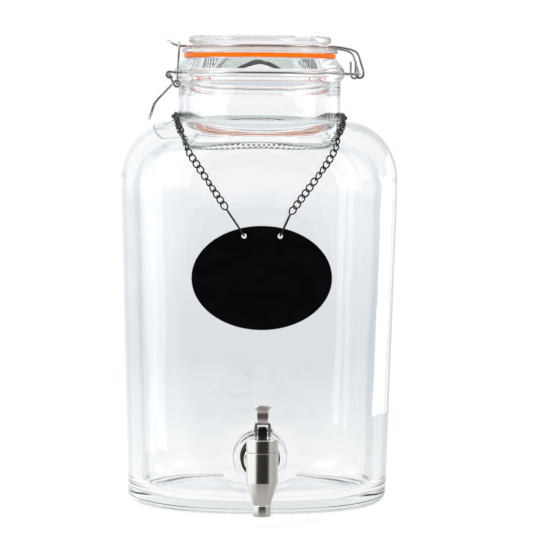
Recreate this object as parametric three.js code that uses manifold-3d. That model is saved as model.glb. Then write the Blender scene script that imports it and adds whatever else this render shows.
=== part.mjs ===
// A clip-top glass dispenser jar with a lever tap and a hanging oval tag.
// Millimetres, +Z up. The origin is the centre of the underside, the tap faces -Y,
// the lid's latch is at -X and its hinge at +X.

import * as THREE from 'three';
import { mergeVertices } from 'three/addons/utils/BufferGeometryUtils.js';
import Module from 'manifold-3d';

const wasm = await Module();
wasm.setup();

// ---------------------------------------------------------------- driving dimensions

// Glass body: a squarish oval in plan, a little wider at the shoulders than at the base.
const BASE_HALF_WIDTH = 109.5;
const TOP_HALF_WIDTH = 116;
const TAPER_TOP_Z = 250;
const DEPTH_RATIO = 0.73;
const SQUARENESS = 2.5;
const HEEL_RADIUS = 8;
const SHOULDER_Z = 272;
const SHOULDER_TOP_Z = 320;
const SHOULDER_INNER_X = 70.5;
const SIDE_WALL = 5;
const BASE_WALL = 7.5;
const FLOOR_Z = 9;
const FLOOR_CROWN = 2.5;
const INNER_HEEL = 14;

// Neck and mouth, round in plan.
const NECK_RADIUS = 68;
const NECK_BORE = 62.5;
const MOUTH_BORE = 60;
const MOUTH_TOP_Z = 371.6;
const MOUTH_TOP_RADIUS = 64.6;
const MOUTH_LIP_RADIUS = 71.4;

// Lid and gasket.
const GASKET_BOTTOM_Z = 371.9;
const GASKET_TOP_Z = 375.4;
const GASKET_RADIUS = 63.6;
const GASKET_BORE = 57.2;
const LID_FLANGE_Z = 375.7;
const LID_FLANGE_RADIUS = 65.3;
const LID_STEM_RADIUS = 56;
const LID_RING_RADIUS = 59.8;
const LID_RING_Z = 384.4;
const LID_TOP_Z = 389.6;

// Spring wire closure.
const WIRE = 2.1;
const LID_WIRE_RADIUS = 57.5;
const LID_WIRE_Z = 381.3;
const NECK_WIRE_RADIUS = 72.2;
const NECK_WIRE_Z = 359.3;
const HINGE_X = 81.8;
const HINGE_Z = 359;
const HINGE_ARM_Y = 26;
const HINGE_BAR_Y = 29.5;
const HINGE_HOOK = 3.3;
const STUD_TOP_Z = 369.6;
const NOSE_Y = 9;
const NOSE_TIP = [-77.2, 385.8];
const EYE_X = -75.4;
const EYE_Z = 357.2;
const EYE_RADIUS = 2.6;
const EYE_Y = 32.6;
const BAIL_PIVOT_X = -69.1;
const BAIL_PIVOT_Z = 349.8;
const LEVER_ARM_Y = 29.8;
const HANDLE_Y = 27.2;
const BAIL_Y = 24.5;
const BAIL_TOP = [-67.4, 383.9];

// Chain and tag.
const CHAIN_WIDTH = 4.6;
const TAG_HALF_WIDTH = 56.5;
const TAG_HALF_HEIGHT = 42;
const TAG_THICKNESS = 2.6;
const TAG_Z = 194.8;
const TAG_FRONT_Y = -89.2;
const TAG_HOLE_X = 14.5;
const TAG_HOLE_Z = 228.6;
const TAG_HOLE_RADIUS = 2.1;
const TAG_LINK_WIRE = 1.5;
const TAG_LINK_WIDTH = 6.4;

// Tap: a vertical valve body in front of the jar on a threaded shank through the glass.
const TAP_Y = -130;
const SHANK_Z = 47.5;
const HOLE_RADIUS = 8.3;
const BOSS_RADIUS = 21.9;
const BOSS_FRONT_Y = -84.2;
const BOSS_BACK_Y = -72.6;
const SHANK_RADIUS = 7.6;
const SHANK_BORE = 4.8;
const SHANK_END_Y = -52;
const WASHER_RADIUS = 16;
const WASHER_THICKNESS = 3;
const FLANGE_RADIUS = 13.5;
const NOZZLE_BOTTOM_Z = 10;
const CONE_BOTTOM_Z = 18.6;
const CONE_TOP_Z = 37.8;
const JOINT_Z = 61.2;
const BONNET_TOP_Z = 72;
const TAP_RADIUS = 12.7;
const NOZZLE_RADIUS = 7.15;
const SEAT_Z = 34;
const STEM_RADIUS = 3.2;
const PIVOT_Z = 78.2;
const POST_HALF_WIDTH = 3.5;
const FORK_INNER = 4.1;
const FORK_OUTER = 6.45;
const FORK_TOP_Z = 84.5;
const PADDLE_TOP_Z = 99.3;

// The clearance that neighbouring pieces keep.
const GAP = 0.3;

// Sides of the round pieces.
const JAR_SIDES = 40;
const LID_SIDES = 36;
const TAP_SIDES = 24;
const WASHER_SIDES = 20;
const WIRE_SIDES = 6;
const CHAIN_SIDES = 8;

// ---------------------------------------------------------------- helpers

const v3 = (x, y, z) => new THREE.Vector3(x, y, z);
const v2 = (x, y) => new THREE.Vector2(x, y);
const radians = THREE.MathUtils.degToRad;

// Points of an elliptical arc, angles in degrees.
function arc(cx, cy, rx, ry, from, to, count) {
  const points = [];
  for (let i = 0; i <= count; i += 1) {
    const a = radians(from + ((to - from) * i) / count);
    points.push([cx + rx * Math.cos(a), cy + ry * Math.sin(a)]);
  }
  return points;
}

// A body of revolution about +Z from [radius, z] points.
function turned(profile, segments) {
  const points = profile.map(([r, z]) => v2(r, z));
  const geometry = new THREE.LatheGeometry(points, segments);
  geometry.rotateX(Math.PI / 2);
  return geometry;
}

// A ring-shaped body of revolution, whose profile closes on itself.
function ring(profile, segments) {
  return turned([...profile, profile[0]], segments);
}

// A body of revolution laid along Y, with [radius, y] points.
function turnedAlongY(profile, segments, closed = false) {
  const points = (closed ? [...profile, profile[0]] : profile).map(([r, y]) => v2(r, y));
  return new THREE.LatheGeometry(points, segments);
}

// A curve that passes its stations one by one, so that bends can have closer stations.
class StationCurve extends THREE.Curve {
  constructor(stations) {
    super();
    this.stations = stations;
  }

  getPoint(t, target = new THREE.Vector3()) {
    const last = this.stations.length - 1;
    const at = THREE.MathUtils.clamp(t, 0, 1) * last;
    const i = Math.min(Math.floor(at), last - 1);
    return target.lerpVectors(this.stations[i], this.stations[i + 1], at - i);
  }

  getUtoTmapping(u) {
    return u;
  }
}

// A round bar along a list of stations.
function bar(stations, diameter, sides = WIRE_SIDES) {
  const circle = new THREE.Shape(arc(0, 0, diameter / 2, diameter / 2, 0, 360 - 360 / sides, sides - 1)
    .map(([x, y]) => v2(x, y)));
  return new THREE.ExtrudeGeometry(circle, {
    steps: stations.length - 1,
    extrudePath: new StationCurve(stations),
  });
}

// Stations mirrored in the plane y = 0, in the opposite order.
function mirrored(stations) {
  return stations.map((p) => v3(p.x, -p.y, p.z)).reverse();
}

// Evenly spaced stations on a smooth curve through the points.
function smooth(points, count) {
  return new THREE.CatmullRomCurve3(points, false, 'centripetal').getSpacedPoints(count);
}

function toSolid(geometry) {
  const bare = geometry.clone();
  bare.deleteAttribute('normal');
  bare.deleteAttribute('uv');
  const merged = mergeVertices(bare, 1e-4);
  return new wasm.Manifold(new wasm.Mesh({
    numProp: 3,
    vertProperties: new Float32Array(merged.attributes.position.array),
    triVerts: new Uint32Array(merged.index.array),
  }));
}

function fromSolid(solid) {
  const mesh = solid.getMesh();
  const geometry = new THREE.BufferGeometry();
  geometry.setAttribute('position', new THREE.Float32BufferAttribute(mesh.vertProperties, 3));
  geometry.setIndex(new THREE.BufferAttribute(mesh.triVerts, 1));
  geometry.computeVertexNormals();
  return geometry;
}

function combine(base, { add = [], cut = [] }) {
  let solid = toSolid(base);
  for (const piece of add) {
    solid = solid.add(toSolid(piece));
  }
  for (const piece of cut) {
    solid = solid.subtract(toSolid(piece));
  }
  return fromSolid(solid);
}

function cylinderAlongY(radius, from, to, segments) {
  const low = Math.min(from, to);
  const high = Math.max(from, to);
  return turnedAlongY([[0, low], [radius, low], [radius, high], [0, high]], segments);
}

function cylinderAlongX(radius, length, segments) {
  const geometry = new THREE.CylinderGeometry(radius, radius, length, segments);
  geometry.rotateZ(Math.PI / 2);
  return geometry;
}

// ---------------------------------------------------------------- plan of the flask

// Half-width of the outside at a height.
function outerHalfWidth(z) {
  const wall = (h) => BASE_HALF_WIDTH
    + (TOP_HALF_WIDTH - BASE_HALF_WIDTH) * THREE.MathUtils.clamp(h / TAPER_TOP_Z, 0, 1);
  if (z < HEEL_RADIUS) {
    const drop = HEEL_RADIUS - Math.max(z, 0);
    return wall(z) - HEEL_RADIUS + Math.sqrt(HEEL_RADIUS ** 2 - drop ** 2);
  }
  if (z <= SHOULDER_Z) {
    return wall(z);
  }
  if (z < SHOULDER_TOP_Z) {
    const t = (z - SHOULDER_Z) / (SHOULDER_TOP_Z - SHOULDER_Z);
    return SHOULDER_INNER_X + (TOP_HALF_WIDTH - SHOULDER_INNER_X) * Math.sqrt(1 - t * t);
  }
  return NECK_RADIUS;
}

// How far a plan stretches at a bearing, for a half-width of 1: round where the spread
// is 0, squarish and shallow where it is 1.
function ovalStretch(bearing, spread, neck, body) {
  const half = THREE.MathUtils.lerp(neck, body, spread);
  const depth = THREE.MathUtils.lerp(neck, body * DEPTH_RATIO, spread);
  const power = THREE.MathUtils.lerp(2, SQUARENESS, spread);
  const across = Math.abs(Math.cos(bearing)) ** power;
  const along = Math.abs((Math.sin(bearing) * half) / depth) ** power;
  return (across + along) ** (-1 / power);
}

// The share of the way from one half-width to another.
function share(halfWidth, from, to) {
  return THREE.MathUtils.clamp((halfWidth - from) / (to - from), 0, 1);
}

// The outside's plan, blended over the shoulder by its height.
function outerStretch(bearing, z) {
  const spread = z <= SHOULDER_Z ? 1 : share(outerHalfWidth(z), NECK_RADIUS, TOP_HALF_WIDTH);
  return ovalStretch(bearing, spread, NECK_RADIUS, TOP_HALF_WIDTH);
}

// The inside's plan, blended by its own half-width, so that it never narrows below the neck.
function innerStretch(bearing, halfWidth, z) {
  const body = TOP_HALF_WIDTH - SIDE_WALL;
  const spread = z <= TAPER_TOP_Z ? 1 : share(halfWidth, NECK_BORE, body);
  return ovalStretch(bearing, spread, NECK_BORE, body);
}

// A point on the outside of the glass, at a bearing in degrees from +X, moved out by a clearance.
function onGlass(bearingDegrees, z, clearance) {
  const point = (degrees, height) => {
    const a = radians(degrees);
    const r = outerHalfWidth(height) * outerStretch(a, height);
    return v3(r * Math.cos(a), r * Math.sin(a), height);
  };
  const here = point(bearingDegrees, z);
  const round = point(bearingDegrees + 1, z).sub(here);
  const rise = point(bearingDegrees, z + 0.5).sub(here);
  const outward = round.cross(rise).normalize();
  return here.addScaledVector(outward, clearance);
}

// ---------------------------------------------------------------- glass jar

function jarProfile() {
  const outer = [
    [0, 0],
    ...arc(BASE_HALF_WIDTH - HEEL_RADIUS, HEEL_RADIUS, HEEL_RADIUS, HEEL_RADIUS, -90, 0, 4),
    [outerHalfWidth(130), 130],
    [TOP_HALF_WIDTH, TAPER_TOP_Z],
    ...arc(SHOULDER_INNER_X, SHOULDER_Z, TOP_HALF_WIDTH - SHOULDER_INNER_X,
      SHOULDER_TOP_Z - SHOULDER_Z, 0, 90, 8),
    [NECK_RADIUS, SHOULDER_TOP_Z + 3],
    [NECK_RADIUS, 353],
    [71, 356.2],
    [71.2, 357.6],
    [70.6, 358],
    [70.6, 360.6],
    [MOUTH_LIP_RADIUS, 361],
    [70.9, 362.4],
    [MOUTH_TOP_RADIUS, MOUTH_TOP_Z - 0.8],
    [MOUTH_TOP_RADIUS - 0.8, MOUTH_TOP_Z],
  ];
  const innerBase = BASE_HALF_WIDTH - BASE_WALL;
  const innerTop = TOP_HALF_WIDTH - SIDE_WALL;
  const inner = [
    [MOUTH_BORE + 0.8, MOUTH_TOP_Z],
    [MOUTH_BORE, MOUTH_TOP_Z - 0.8],
    [MOUTH_BORE, 352],
    [NECK_BORE, 344],
    [NECK_BORE, SHOULDER_TOP_Z + 1],
    ...arc(66, 269, innerTop - 66, 45.5, 90, 0, 7),
    [innerTop - 0.3, TAPER_TOP_Z],
    [innerBase + 4.5, 130],
    ...arc(innerBase - INNER_HEEL, FLOOR_Z + INNER_HEEL, INNER_HEEL, INNER_HEEL, 0, -90, 4),
    [45, FLOOR_Z + 0.75 * FLOOR_CROWN],
    [0, FLOOR_Z + FLOOR_CROWN],
  ];
  return { outer, inner };
}

function makeJar() {
  const { outer, inner } = jarProfile();
  const profile = [...outer, ...inner];
  const flask = turned(profile, JAR_SIDES);
  const place = flask.attributes.position;
  for (let i = 0; i < place.count; i += 1) {
    const [x, y, z] = [place.getX(i), place.getY(i), place.getZ(i)];
    const bearing = Math.atan2(y, x);
    const stretch = i % profile.length < outer.length
      ? outerStretch(bearing, z)
      : innerStretch(bearing, Math.hypot(x, y), z);
    place.setX(i, x * stretch);
    place.setY(i, y * stretch);
  }
  const boss = turnedAlongY([
    [0, BOSS_FRONT_Y],
    [BOSS_RADIUS - 2.5, BOSS_FRONT_Y],
    [BOSS_RADIUS, BOSS_FRONT_Y + 2.5],
    [BOSS_RADIUS, BOSS_BACK_Y - 2],
    [BOSS_RADIUS - 3, BOSS_BACK_Y],
    [0, BOSS_BACK_Y],
  ], TAP_SIDES);
  boss.translate(0, 0, SHANK_Z);
  const hole = cylinderAlongY(HOLE_RADIUS, BOSS_FRONT_Y - 5, BOSS_BACK_Y + 5, WASHER_SIDES);
  hole.translate(0, 0, SHANK_Z);
  return combine(flask, { add: [boss], cut: [hole] });
}

// ---------------------------------------------------------------- lid and gasket

function makeLid() {
  return turned([
    [0, 372.4],
    [52, 372.4],
    [55, 373.6],
    [56.6, LID_FLANGE_Z],
    [LID_FLANGE_RADIUS - 1, LID_FLANGE_Z],
    [LID_FLANGE_RADIUS, LID_FLANGE_Z + 1],
    [LID_FLANGE_RADIUS, 377.9],
    [LID_FLANGE_RADIUS - 1.2, 378.9],
    [57.4, 379.9],
    [LID_STEM_RADIUS, 380.6],
    [LID_STEM_RADIUS, 383],
    [57.4, LID_RING_Z],
    [LID_RING_RADIUS - 1, LID_RING_Z + 0.4],
    [LID_RING_RADIUS, 386],
    [LID_RING_RADIUS, LID_TOP_Z - 2],
    [LID_RING_RADIUS - 1.6, LID_TOP_Z - 0.3],
    [57, LID_TOP_Z],
    [53.5, LID_TOP_Z - 0.6],
    [51, LID_TOP_Z - 3],
    [49.5, 382],
    [46, 379.8],
    [0, 378.8],
  ], LID_SIDES);
}

function makeGasket() {
  return ring([
    [GASKET_BORE, GASKET_BOTTOM_Z],
    [GASKET_RADIUS - 0.6, GASKET_BOTTOM_Z],
    [GASKET_RADIUS, GASKET_BOTTOM_Z + 0.6],
    [GASKET_RADIUS, GASKET_TOP_Z - 0.6],
    [GASKET_RADIUS - 0.6, GASKET_TOP_Z],
    [GASKET_BORE, GASKET_TOP_Z],
  ], LID_SIDES);
}

// ---------------------------------------------------------------- closure wires

// Stations round a level ring, bearings in degrees from +X.
function levelArc(radius, z, from, to, count) {
  return arc(0, 0, radius, radius, from, to, count).map(([x, y]) => v3(x, y, z));
}

// Stations round an upright arc in a plane of constant y.
function uprightArc(x, z, radius, y, from, to, count) {
  return arc(x, z, radius, radius, from, to, count).map(([px, pz]) => v3(px, y, pz));
}

// One wire: stud, hook under the hinge bar, arm, half round the lid, nose and back again.
function makeLidWire() {
  const y = -HINGE_ARM_Y;
  const arm = [
    v3(HINGE_X - HINGE_HOOK, y, STUD_TOP_Z),
    v3(HINGE_X - HINGE_HOOK, y, HINGE_Z + 0.5),
    ...uprightArc(HINGE_X, HINGE_Z, HINGE_HOOK, y, 205, 350, 6),
    v3(84.9, y, 361.5),
    v3(80.6, y, 374.6),
    v3(79.4, y, 376.7),
    v3(77, y, 378.2),
    v3(73, y, 379.5),
    v3(66, y, 380.8),
    v3(60, y - 0.6, LID_WIRE_Z + 0.1),
    v3(53.6, y - 2.6, LID_WIRE_Z),
  ];
  const half = levelArc(LID_WIRE_RADIUS, LID_WIRE_Z, -36, -166, 16);
  const nose = [
    v3(-58.6, -NOSE_Y - 1.4, LID_WIRE_Z),
    v3(-61, -NOSE_Y, LID_WIRE_Z),
    v3(-68, -NOSE_Y, LID_WIRE_Z + 0.1),
    v3(-70.2, -NOSE_Y, LID_WIRE_Z + 0.8),
    v3(-75, -NOSE_Y + 1.4, NOSE_TIP[1] - 1.2),
    v3(-76.6, -NOSE_Y + 3.6, NOSE_TIP[1] - 0.3),
  ];
  const side = [...arm, ...half, ...nose];
  return bar([...side, v3(NOSE_TIP[0], 0, NOSE_TIP[1]), ...mirrored(side)], WIRE);
}

// One wire: an eye, half round the neck, the hinge bar and back again.
function makeNeckWire() {
  const eye = [
    ...uprightArc(EYE_X, EYE_Z, EYE_RADIUS, -EYE_Y, 330, 90, 8),
    v3(-71.5, -EYE_Y, NECK_WIRE_Z + 0.2),
    v3(-66.4, -EYE_Y + 0.6, NECK_WIRE_Z),
  ];
  const half = levelArc(NECK_WIRE_RADIUS, NECK_WIRE_Z, -154, -28, 16);
  const hinge = [
    v3(66.2, -HINGE_BAR_Y - 0.6, NECK_WIRE_Z),
    v3(69.5, -HINGE_BAR_Y, NECK_WIRE_Z),
    v3(HINGE_X - 1.6, -HINGE_BAR_Y, HINGE_Z),
    v3(HINGE_X - 0.5, -HINGE_BAR_Y + 0.5, HINGE_Z),
    v3(HINGE_X, -HINGE_BAR_Y + 1.6, HINGE_Z),
  ];
  const side = [...eye, ...half, ...hinge];
  return bar([...side, ...mirrored(side)], WIRE);
}

// A U-shaped handle whose legs each make a coil for the bail and end in the neck wire's eyes.
function makeClampLever() {
  const coilFrom = 205;
  const coilTo = 495;
  const coilSteps = 12;
  const coil = uprightArc(BAIL_PIVOT_X, BAIL_PIVOT_Z, EYE_RADIUS, 0, coilFrom, coilTo, coilSteps);
  coil.forEach((p, i) => {
    p.y = -THREE.MathUtils.lerp(LEVER_ARM_Y, HANDLE_Y, i / coilSteps);
  });
  const side = [
    v3(EYE_X, -EYE_Y - 2.2, EYE_Z),
    v3(EYE_X, -LEVER_ARM_Y - 0.9, EYE_Z),
    v3(EYE_X + 0.2, -LEVER_ARM_Y - 0.15, EYE_Z - 0.5),
    v3(EYE_X + 0.6, -LEVER_ARM_Y, EYE_Z - 1.4),
    ...coil,
    v3(-74, -HANDLE_Y, 348.6),
    v3(-86.8, -HANDLE_Y, 335.2),
    v3(-88.4, -HANDLE_Y, 332.4),
    v3(-91, -HANDLE_Y + 0.4, 324.4),
    v3(-91.6, -HANDLE_Y + 2, 322.2),
    v3(-91.9, -HANDLE_Y + 5, 321.2),
  ];
  return bar([...side, ...mirrored(side)], WIRE);
}

// A U-shaped wire that hooks over the nose and turns in the lever's coils.
function makeClampBail() {
  const [topX, topZ] = BAIL_TOP;
  const side = [
    v3(BAIL_PIVOT_X, -LEVER_ARM_Y - 1.6, BAIL_PIVOT_Z),
    v3(BAIL_PIVOT_X, -BAIL_Y - 1, BAIL_PIVOT_Z),
    v3(BAIL_PIVOT_X, -BAIL_Y - 0.2, BAIL_PIVOT_Z + 0.4),
    v3(BAIL_PIVOT_X, -BAIL_Y, BAIL_PIVOT_Z + 1.6),
    v3(topX - 0.1, -BAIL_Y, topZ - 3.4),
    v3(topX, -BAIL_Y + 1, topZ - 1),
    v3(topX, -BAIL_Y + 3.4, topZ),
  ];
  return bar([...side, ...mirrored(side)], WIRE - 0.1);
}

// ---------------------------------------------------------------- chain and tag

const CHAIN_LIFT = CHAIN_WIDTH / 2 + 0.6;
const TAG_LINK_Y = TAG_FRONT_Y + TAG_THICKNESS / 2;

// The swinging strands: bearings from the sides, and heights, from where they leave the
// foot of the neck.
const STRAND_TOP_Z = 309;
const LEFT_ROUTE = [[45.5, STRAND_TOP_Z], [52, 295], [58, 282], [63.5, 268.5], [71, 250.4]];
const RIGHT_ROUTE = [[47.5, STRAND_TOP_Z], [52.5, 297], [58, 284.5], [65, 269], [75, 247]];

// One half of the fixed chain, from the strand's top round the side of the neck to the back.
function sideStations(startBearing) {
  return [
    onGlass(2 - startBearing, STRAND_TOP_Z + 2.4, CHAIN_LIFT),
    onGlass(8 - startBearing, 316.2, CHAIN_LIFT),
    onGlass(15 - startBearing, 319, CHAIN_LIFT),
    v3(70.6, -14, 323.6),
    v3(71.3, 8, 323.8),
    onGlass(24, 319.6, CHAIN_LIFT),
    onGlass(42, 316.5, CHAIN_LIFT),
    onGlass(56, 312.5, CHAIN_LIFT),
    onGlass(70, 310.5, CHAIN_LIFT),
  ];
}

function backStations() {
  const right = sideStations(RIGHT_ROUTE[0][0]);
  const left = sideStations(LEFT_ROUTE[0][0]).map((p) => v3(-p.x, p.y, p.z)).reverse();
  return smooth([...right, onGlass(90, 310, CHAIN_LIFT), ...left], 36);
}

function strandStations(side, route) {
  const bearing = (degrees) => (side < 0 ? 180 + degrees : -degrees);
  return smooth(route.map(([degrees, z]) => onGlass(bearing(degrees), z, CHAIN_LIFT)), 12);
}

// A long loop of wire that stands square to the tag and passes through one of its holes.
// The wire's two ends leave a small gap halfway along one side.
function makeTagLink(strandEnd, holeSide) {
  const low = v3(holeSide * TAG_HOLE_X, TAG_LINK_Y, TAG_HOLE_Z + 0.4);
  const high = v3(strandEnd.x, TAG_LINK_Y, strandEnd.z);
  const direction = high.clone().sub(low);
  const length = direction.length() - TAG_LINK_WIRE / 2 - 2 * GAP;
  direction.normalize();
  const half = (TAG_LINK_WIDTH - TAG_LINK_WIRE) / 2;
  const outline = [
    [length / 2, half],
    ...arc(length - half, 0, half, half, 90, -90, 8),
    ...arc(half, 0, half, half, -90, -270, 8),
    [length / 2 - 2 * GAP, half],
  ];
  const stations = outline
    .map(([s, t]) => low.clone().addScaledVector(direction, s).add(v3(0, t, 0)));
  return bar(stations, TAG_LINK_WIRE);
}

function makeTag() {
  const plate = new THREE.Shape();
  plate.absellipse(0, 0, TAG_HALF_WIDTH, TAG_HALF_HEIGHT, 0, 2 * Math.PI);
  for (const side of [-1, 1]) {
    const hole = new THREE.Path();
    hole.absarc(side * TAG_HOLE_X, TAG_HOLE_Z - TAG_Z, TAG_HOLE_RADIUS, 0, 2 * Math.PI, true);
    plate.holes.push(hole);
  }
  const geometry = new THREE.ExtrudeGeometry(plate, {
    depth: TAG_THICKNESS,
    bevelEnabled: false,
    curveSegments: 18,
  });
  geometry.rotateX(Math.PI / 2);
  geometry.translate(0, TAG_FRONT_Y + TAG_THICKNESS, TAG_Z);
  return geometry;
}

// ---------------------------------------------------------------- tap, outside the glass

const WASHER_FRONT_Y = BOSS_FRONT_Y - GAP - WASHER_THICKNESS;
const FLANGE_BACK_Y = WASHER_FRONT_Y - GAP;
const FLANGE_FRONT_Y = FLANGE_BACK_Y - 2.5;
const SHANK_FRONT_Y = FLANGE_BACK_Y - 12;

function makeTapBody() {
  const shell = ring([
    [4.5, NOZZLE_BOTTOM_Z],
    [NOZZLE_RADIUS - 0.5, NOZZLE_BOTTOM_Z],
    [NOZZLE_RADIUS, NOZZLE_BOTTOM_Z + 0.5],
    [NOZZLE_RADIUS, CONE_BOTTOM_Z],
    [NOZZLE_RADIUS - 0.4, CONE_BOTTOM_Z + 0.3],
    [TAP_RADIUS - 0.3, CONE_TOP_Z - 0.6],
    [TAP_RADIUS, CONE_TOP_Z + 0.6],
    [TAP_RADIUS, JOINT_Z - 0.3],
    [TAP_RADIUS - 0.3, JOINT_Z],
    [9.5, JOINT_Z],
    [9.5, SEAT_Z],
    [4.5, SEAT_Z],
  ], TAP_SIDES);
  const branch = turnedAlongY([
    [0, TAP_Y + 11],
    [8.7, TAP_Y + 11],
    [8.7, FLANGE_FRONT_Y - 1.2],
    [FLANGE_RADIUS - 0.6, FLANGE_FRONT_Y],
    [FLANGE_RADIUS, FLANGE_FRONT_Y + 0.6],
    [FLANGE_RADIUS, FLANGE_BACK_Y],
    [0, FLANGE_BACK_Y],
  ], WASHER_SIDES);
  const bore = cylinderAlongY(SHANK_BORE, TAP_Y, FLANGE_BACK_Y + 1, 16);
  const socket = cylinderAlongY(SHANK_RADIUS + GAP, SHANK_FRONT_Y - GAP, FLANGE_BACK_Y + 1, WASHER_SIDES);
  [branch, bore, socket].forEach((piece) => piece.translate(0, -TAP_Y, SHANK_Z));
  return combine(shell, { add: [branch], cut: [bore, socket] });
}

function makeTapBonnet() {
  return ring([
    [TAP_RADIUS - 0.3, JOINT_Z + GAP],
    [TAP_RADIUS, JOINT_Z + 2 * GAP],
    [TAP_RADIUS, BONNET_TOP_Z - 0.8],
    [TAP_RADIUS - 0.8, BONNET_TOP_Z],
    [STEM_RADIUS + 0.4, BONNET_TOP_Z],
    [STEM_RADIUS + 0.4, BONNET_TOP_Z - 3],
    [7.6, BONNET_TOP_Z - 3],
    [7.6, JOINT_Z - 4.7],
    [9.5 - GAP, JOINT_Z - 4.7],
    [9.5 - GAP, JOINT_Z + GAP],
  ], TAP_SIDES);
}

function makeTapShank() {
  return turnedAlongY([
    [SHANK_BORE, SHANK_FRONT_Y],
    [SHANK_RADIUS - 0.6, SHANK_FRONT_Y],
    [SHANK_RADIUS, SHANK_FRONT_Y + 0.6],
    [SHANK_RADIUS, SHANK_END_Y - 0.6],
    [SHANK_RADIUS - 0.6, SHANK_END_Y],
    [SHANK_BORE, SHANK_END_Y],
  ], WASHER_SIDES, true);
}

// A flat washer round the shank, from its front face backwards.
function makeWasher(radius, frontY, thickness, edge) {
  return turnedAlongY([
    [SHANK_RADIUS + GAP, frontY],
    [radius - edge, frontY],
    [radius, frontY + edge],
    [radius, frontY + thickness - edge],
    [radius - edge, frontY + thickness],
    [SHANK_RADIUS + GAP, frontY + thickness],
  ], WASHER_SIDES, true);
}

const INNER_WASHER_Y = BOSS_BACK_Y + GAP;
const STEEL_WASHER_Y = INNER_WASHER_Y + WASHER_THICKNESS + GAP;
const NUT_Y = STEEL_WASHER_Y + 1.5 + GAP;
const NUT_THICKNESS = 7;
const NUT_RADIUS = 13.5;

function makeNut() {
  const blank = new THREE.CylinderGeometry(NUT_RADIUS, NUT_RADIUS, NUT_THICKNESS, 6);
  blank.translate(0, NUT_Y + NUT_THICKNESS / 2, 0);
  const hole = cylinderAlongY(SHANK_RADIUS + GAP, NUT_Y - 1, NUT_Y + NUT_THICKNESS + 1, WASHER_SIDES);
  return combine(blank, { cut: [hole] });
}

// ---------------------------------------------------------------- tap, moving pieces

function makeValvePlug() {
  return turned([
    [0, SEAT_Z + GAP],
    [5.6, SEAT_Z + GAP],
    [7, SEAT_Z + 1.5],
    [7, SEAT_Z + 5],
    [STEM_RADIUS + GAP, SEAT_Z + 5],
    [STEM_RADIUS + GAP, SEAT_Z + 2],
    [0, SEAT_Z + 2],
  ], WASHER_SIDES);
}

// A rod with a flat-sided head for the lever's pin.
function makeValveStem() {
  const rod = turned([
    [0, SEAT_Z + 2 + GAP],
    [STEM_RADIUS, SEAT_Z + 2 + GAP],
    [STEM_RADIUS, BONNET_TOP_Z + 0.8],
    [0, BONNET_TOP_Z + 0.8],
  ], WASHER_SIDES);
  const profile = new THREE.Shape([
    v2(-POST_HALF_WIDTH, BONNET_TOP_Z + 0.5),
    v2(POST_HALF_WIDTH, BONNET_TOP_Z + 0.5),
    v2(POST_HALF_WIDTH, PIVOT_Z + 1.4),
    v2(POST_HALF_WIDTH - 1.6, PIVOT_Z + 2.8),
    v2(-POST_HALF_WIDTH + 1.6, PIVOT_Z + 2.8),
    v2(-POST_HALF_WIDTH, PIVOT_Z + 1.4),
  ]);
  const head = new THREE.ExtrudeGeometry(profile, { depth: 6, bevelEnabled: false });
  head.rotateX(Math.PI / 2);
  head.translate(0, 3, 0);
  const hole = cylinderAlongX(1.5 + GAP, 12, 16);
  hole.translate(0, 0, PIVOT_Z);
  return combine(rod, { add: [head], cut: [hole] });
}

function makeValveSpring() {
  const turns = 6;
  const stepsPerTurn = 10;
  const low = SEAT_Z + 6;
  const high = BONNET_TOP_Z - 4;
  const stations = [];
  for (let i = 0; i <= turns * stepsPerTurn; i += 1) {
    const a = (2 * Math.PI * i) / stepsPerTurn;
    const z = THREE.MathUtils.lerp(low, high, i / (turns * stepsPerTurn));
    stations.push(v3(5.4 * Math.cos(a), 5.4 * Math.sin(a), z));
  }
  return bar(stations, 1, 5);
}

// A forked lever: two cheeks beside the stem's head, a bridge and a curved paddle.
function makeTapLever() {
  const cheekFoot = BONNET_TOP_Z + 3 * GAP;
  const bridge = FORK_TOP_Z - 1.7;
  const corner = 1.4;
  const profile = new THREE.Shape([
    v2(-FORK_OUTER, cheekFoot),
    v2(-FORK_INNER, cheekFoot),
    v2(-FORK_INNER, bridge),
    v2(FORK_INNER, bridge),
    v2(FORK_INNER, cheekFoot),
    v2(FORK_OUTER, cheekFoot),
    v2(FORK_OUTER, FORK_TOP_Z - corner),
    v2(FORK_OUTER - corner, FORK_TOP_Z),
    v2(-FORK_OUTER + corner, FORK_TOP_Z),
    v2(-FORK_OUTER, FORK_TOP_Z - corner),
  ]);
  const fork = new THREE.ExtrudeGeometry(profile, { depth: 6, bevelEnabled: false });
  fork.rotateX(Math.PI / 2);
  fork.translate(0, 3, 0);

  const spine = new THREE.CatmullRomCurve3([
    v3(0, 0, bridge + 0.6),
    v3(0, 1.4, bridge + 5),
    v3(0, 0.9, PADDLE_TOP_Z - 7),
    v3(0, -2.6, PADDLE_TOP_Z - 3),
    v3(0, -7.4, PADDLE_TOP_Z - 1),
  ]);
  const thickness = 2;
  const halfWidth = (t) => 4.7 + 2.35 * THREE.MathUtils.smoothstep(t, 0.5, 0.92);
  const paddle = new THREE.BoxGeometry(2, thickness, 1, 6, 1, 12);
  const place = paddle.attributes.position;
  for (let i = 0; i < place.count; i += 1) {
    const across = place.getX(i);
    const t = (place.getZ(i) + 0.5) * (1 - 0.1 * across * across);
    const centre = spine.getPointAt(t);
    const tangent = spine.getTangentAt(t);
    const normal = v3(1, 0, 0).cross(tangent);
    centre.addScaledVector(normal, -place.getY(i));
    place.setXYZ(i, across * halfWidth(t), centre.y, centre.z);
  }
  const holes = cylinderAlongX(1.5 + GAP, 20, 16);
  holes.translate(0, 0, PIVOT_Z);
  return combine(fork, { add: [paddle], cut: [holes] });
}

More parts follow.
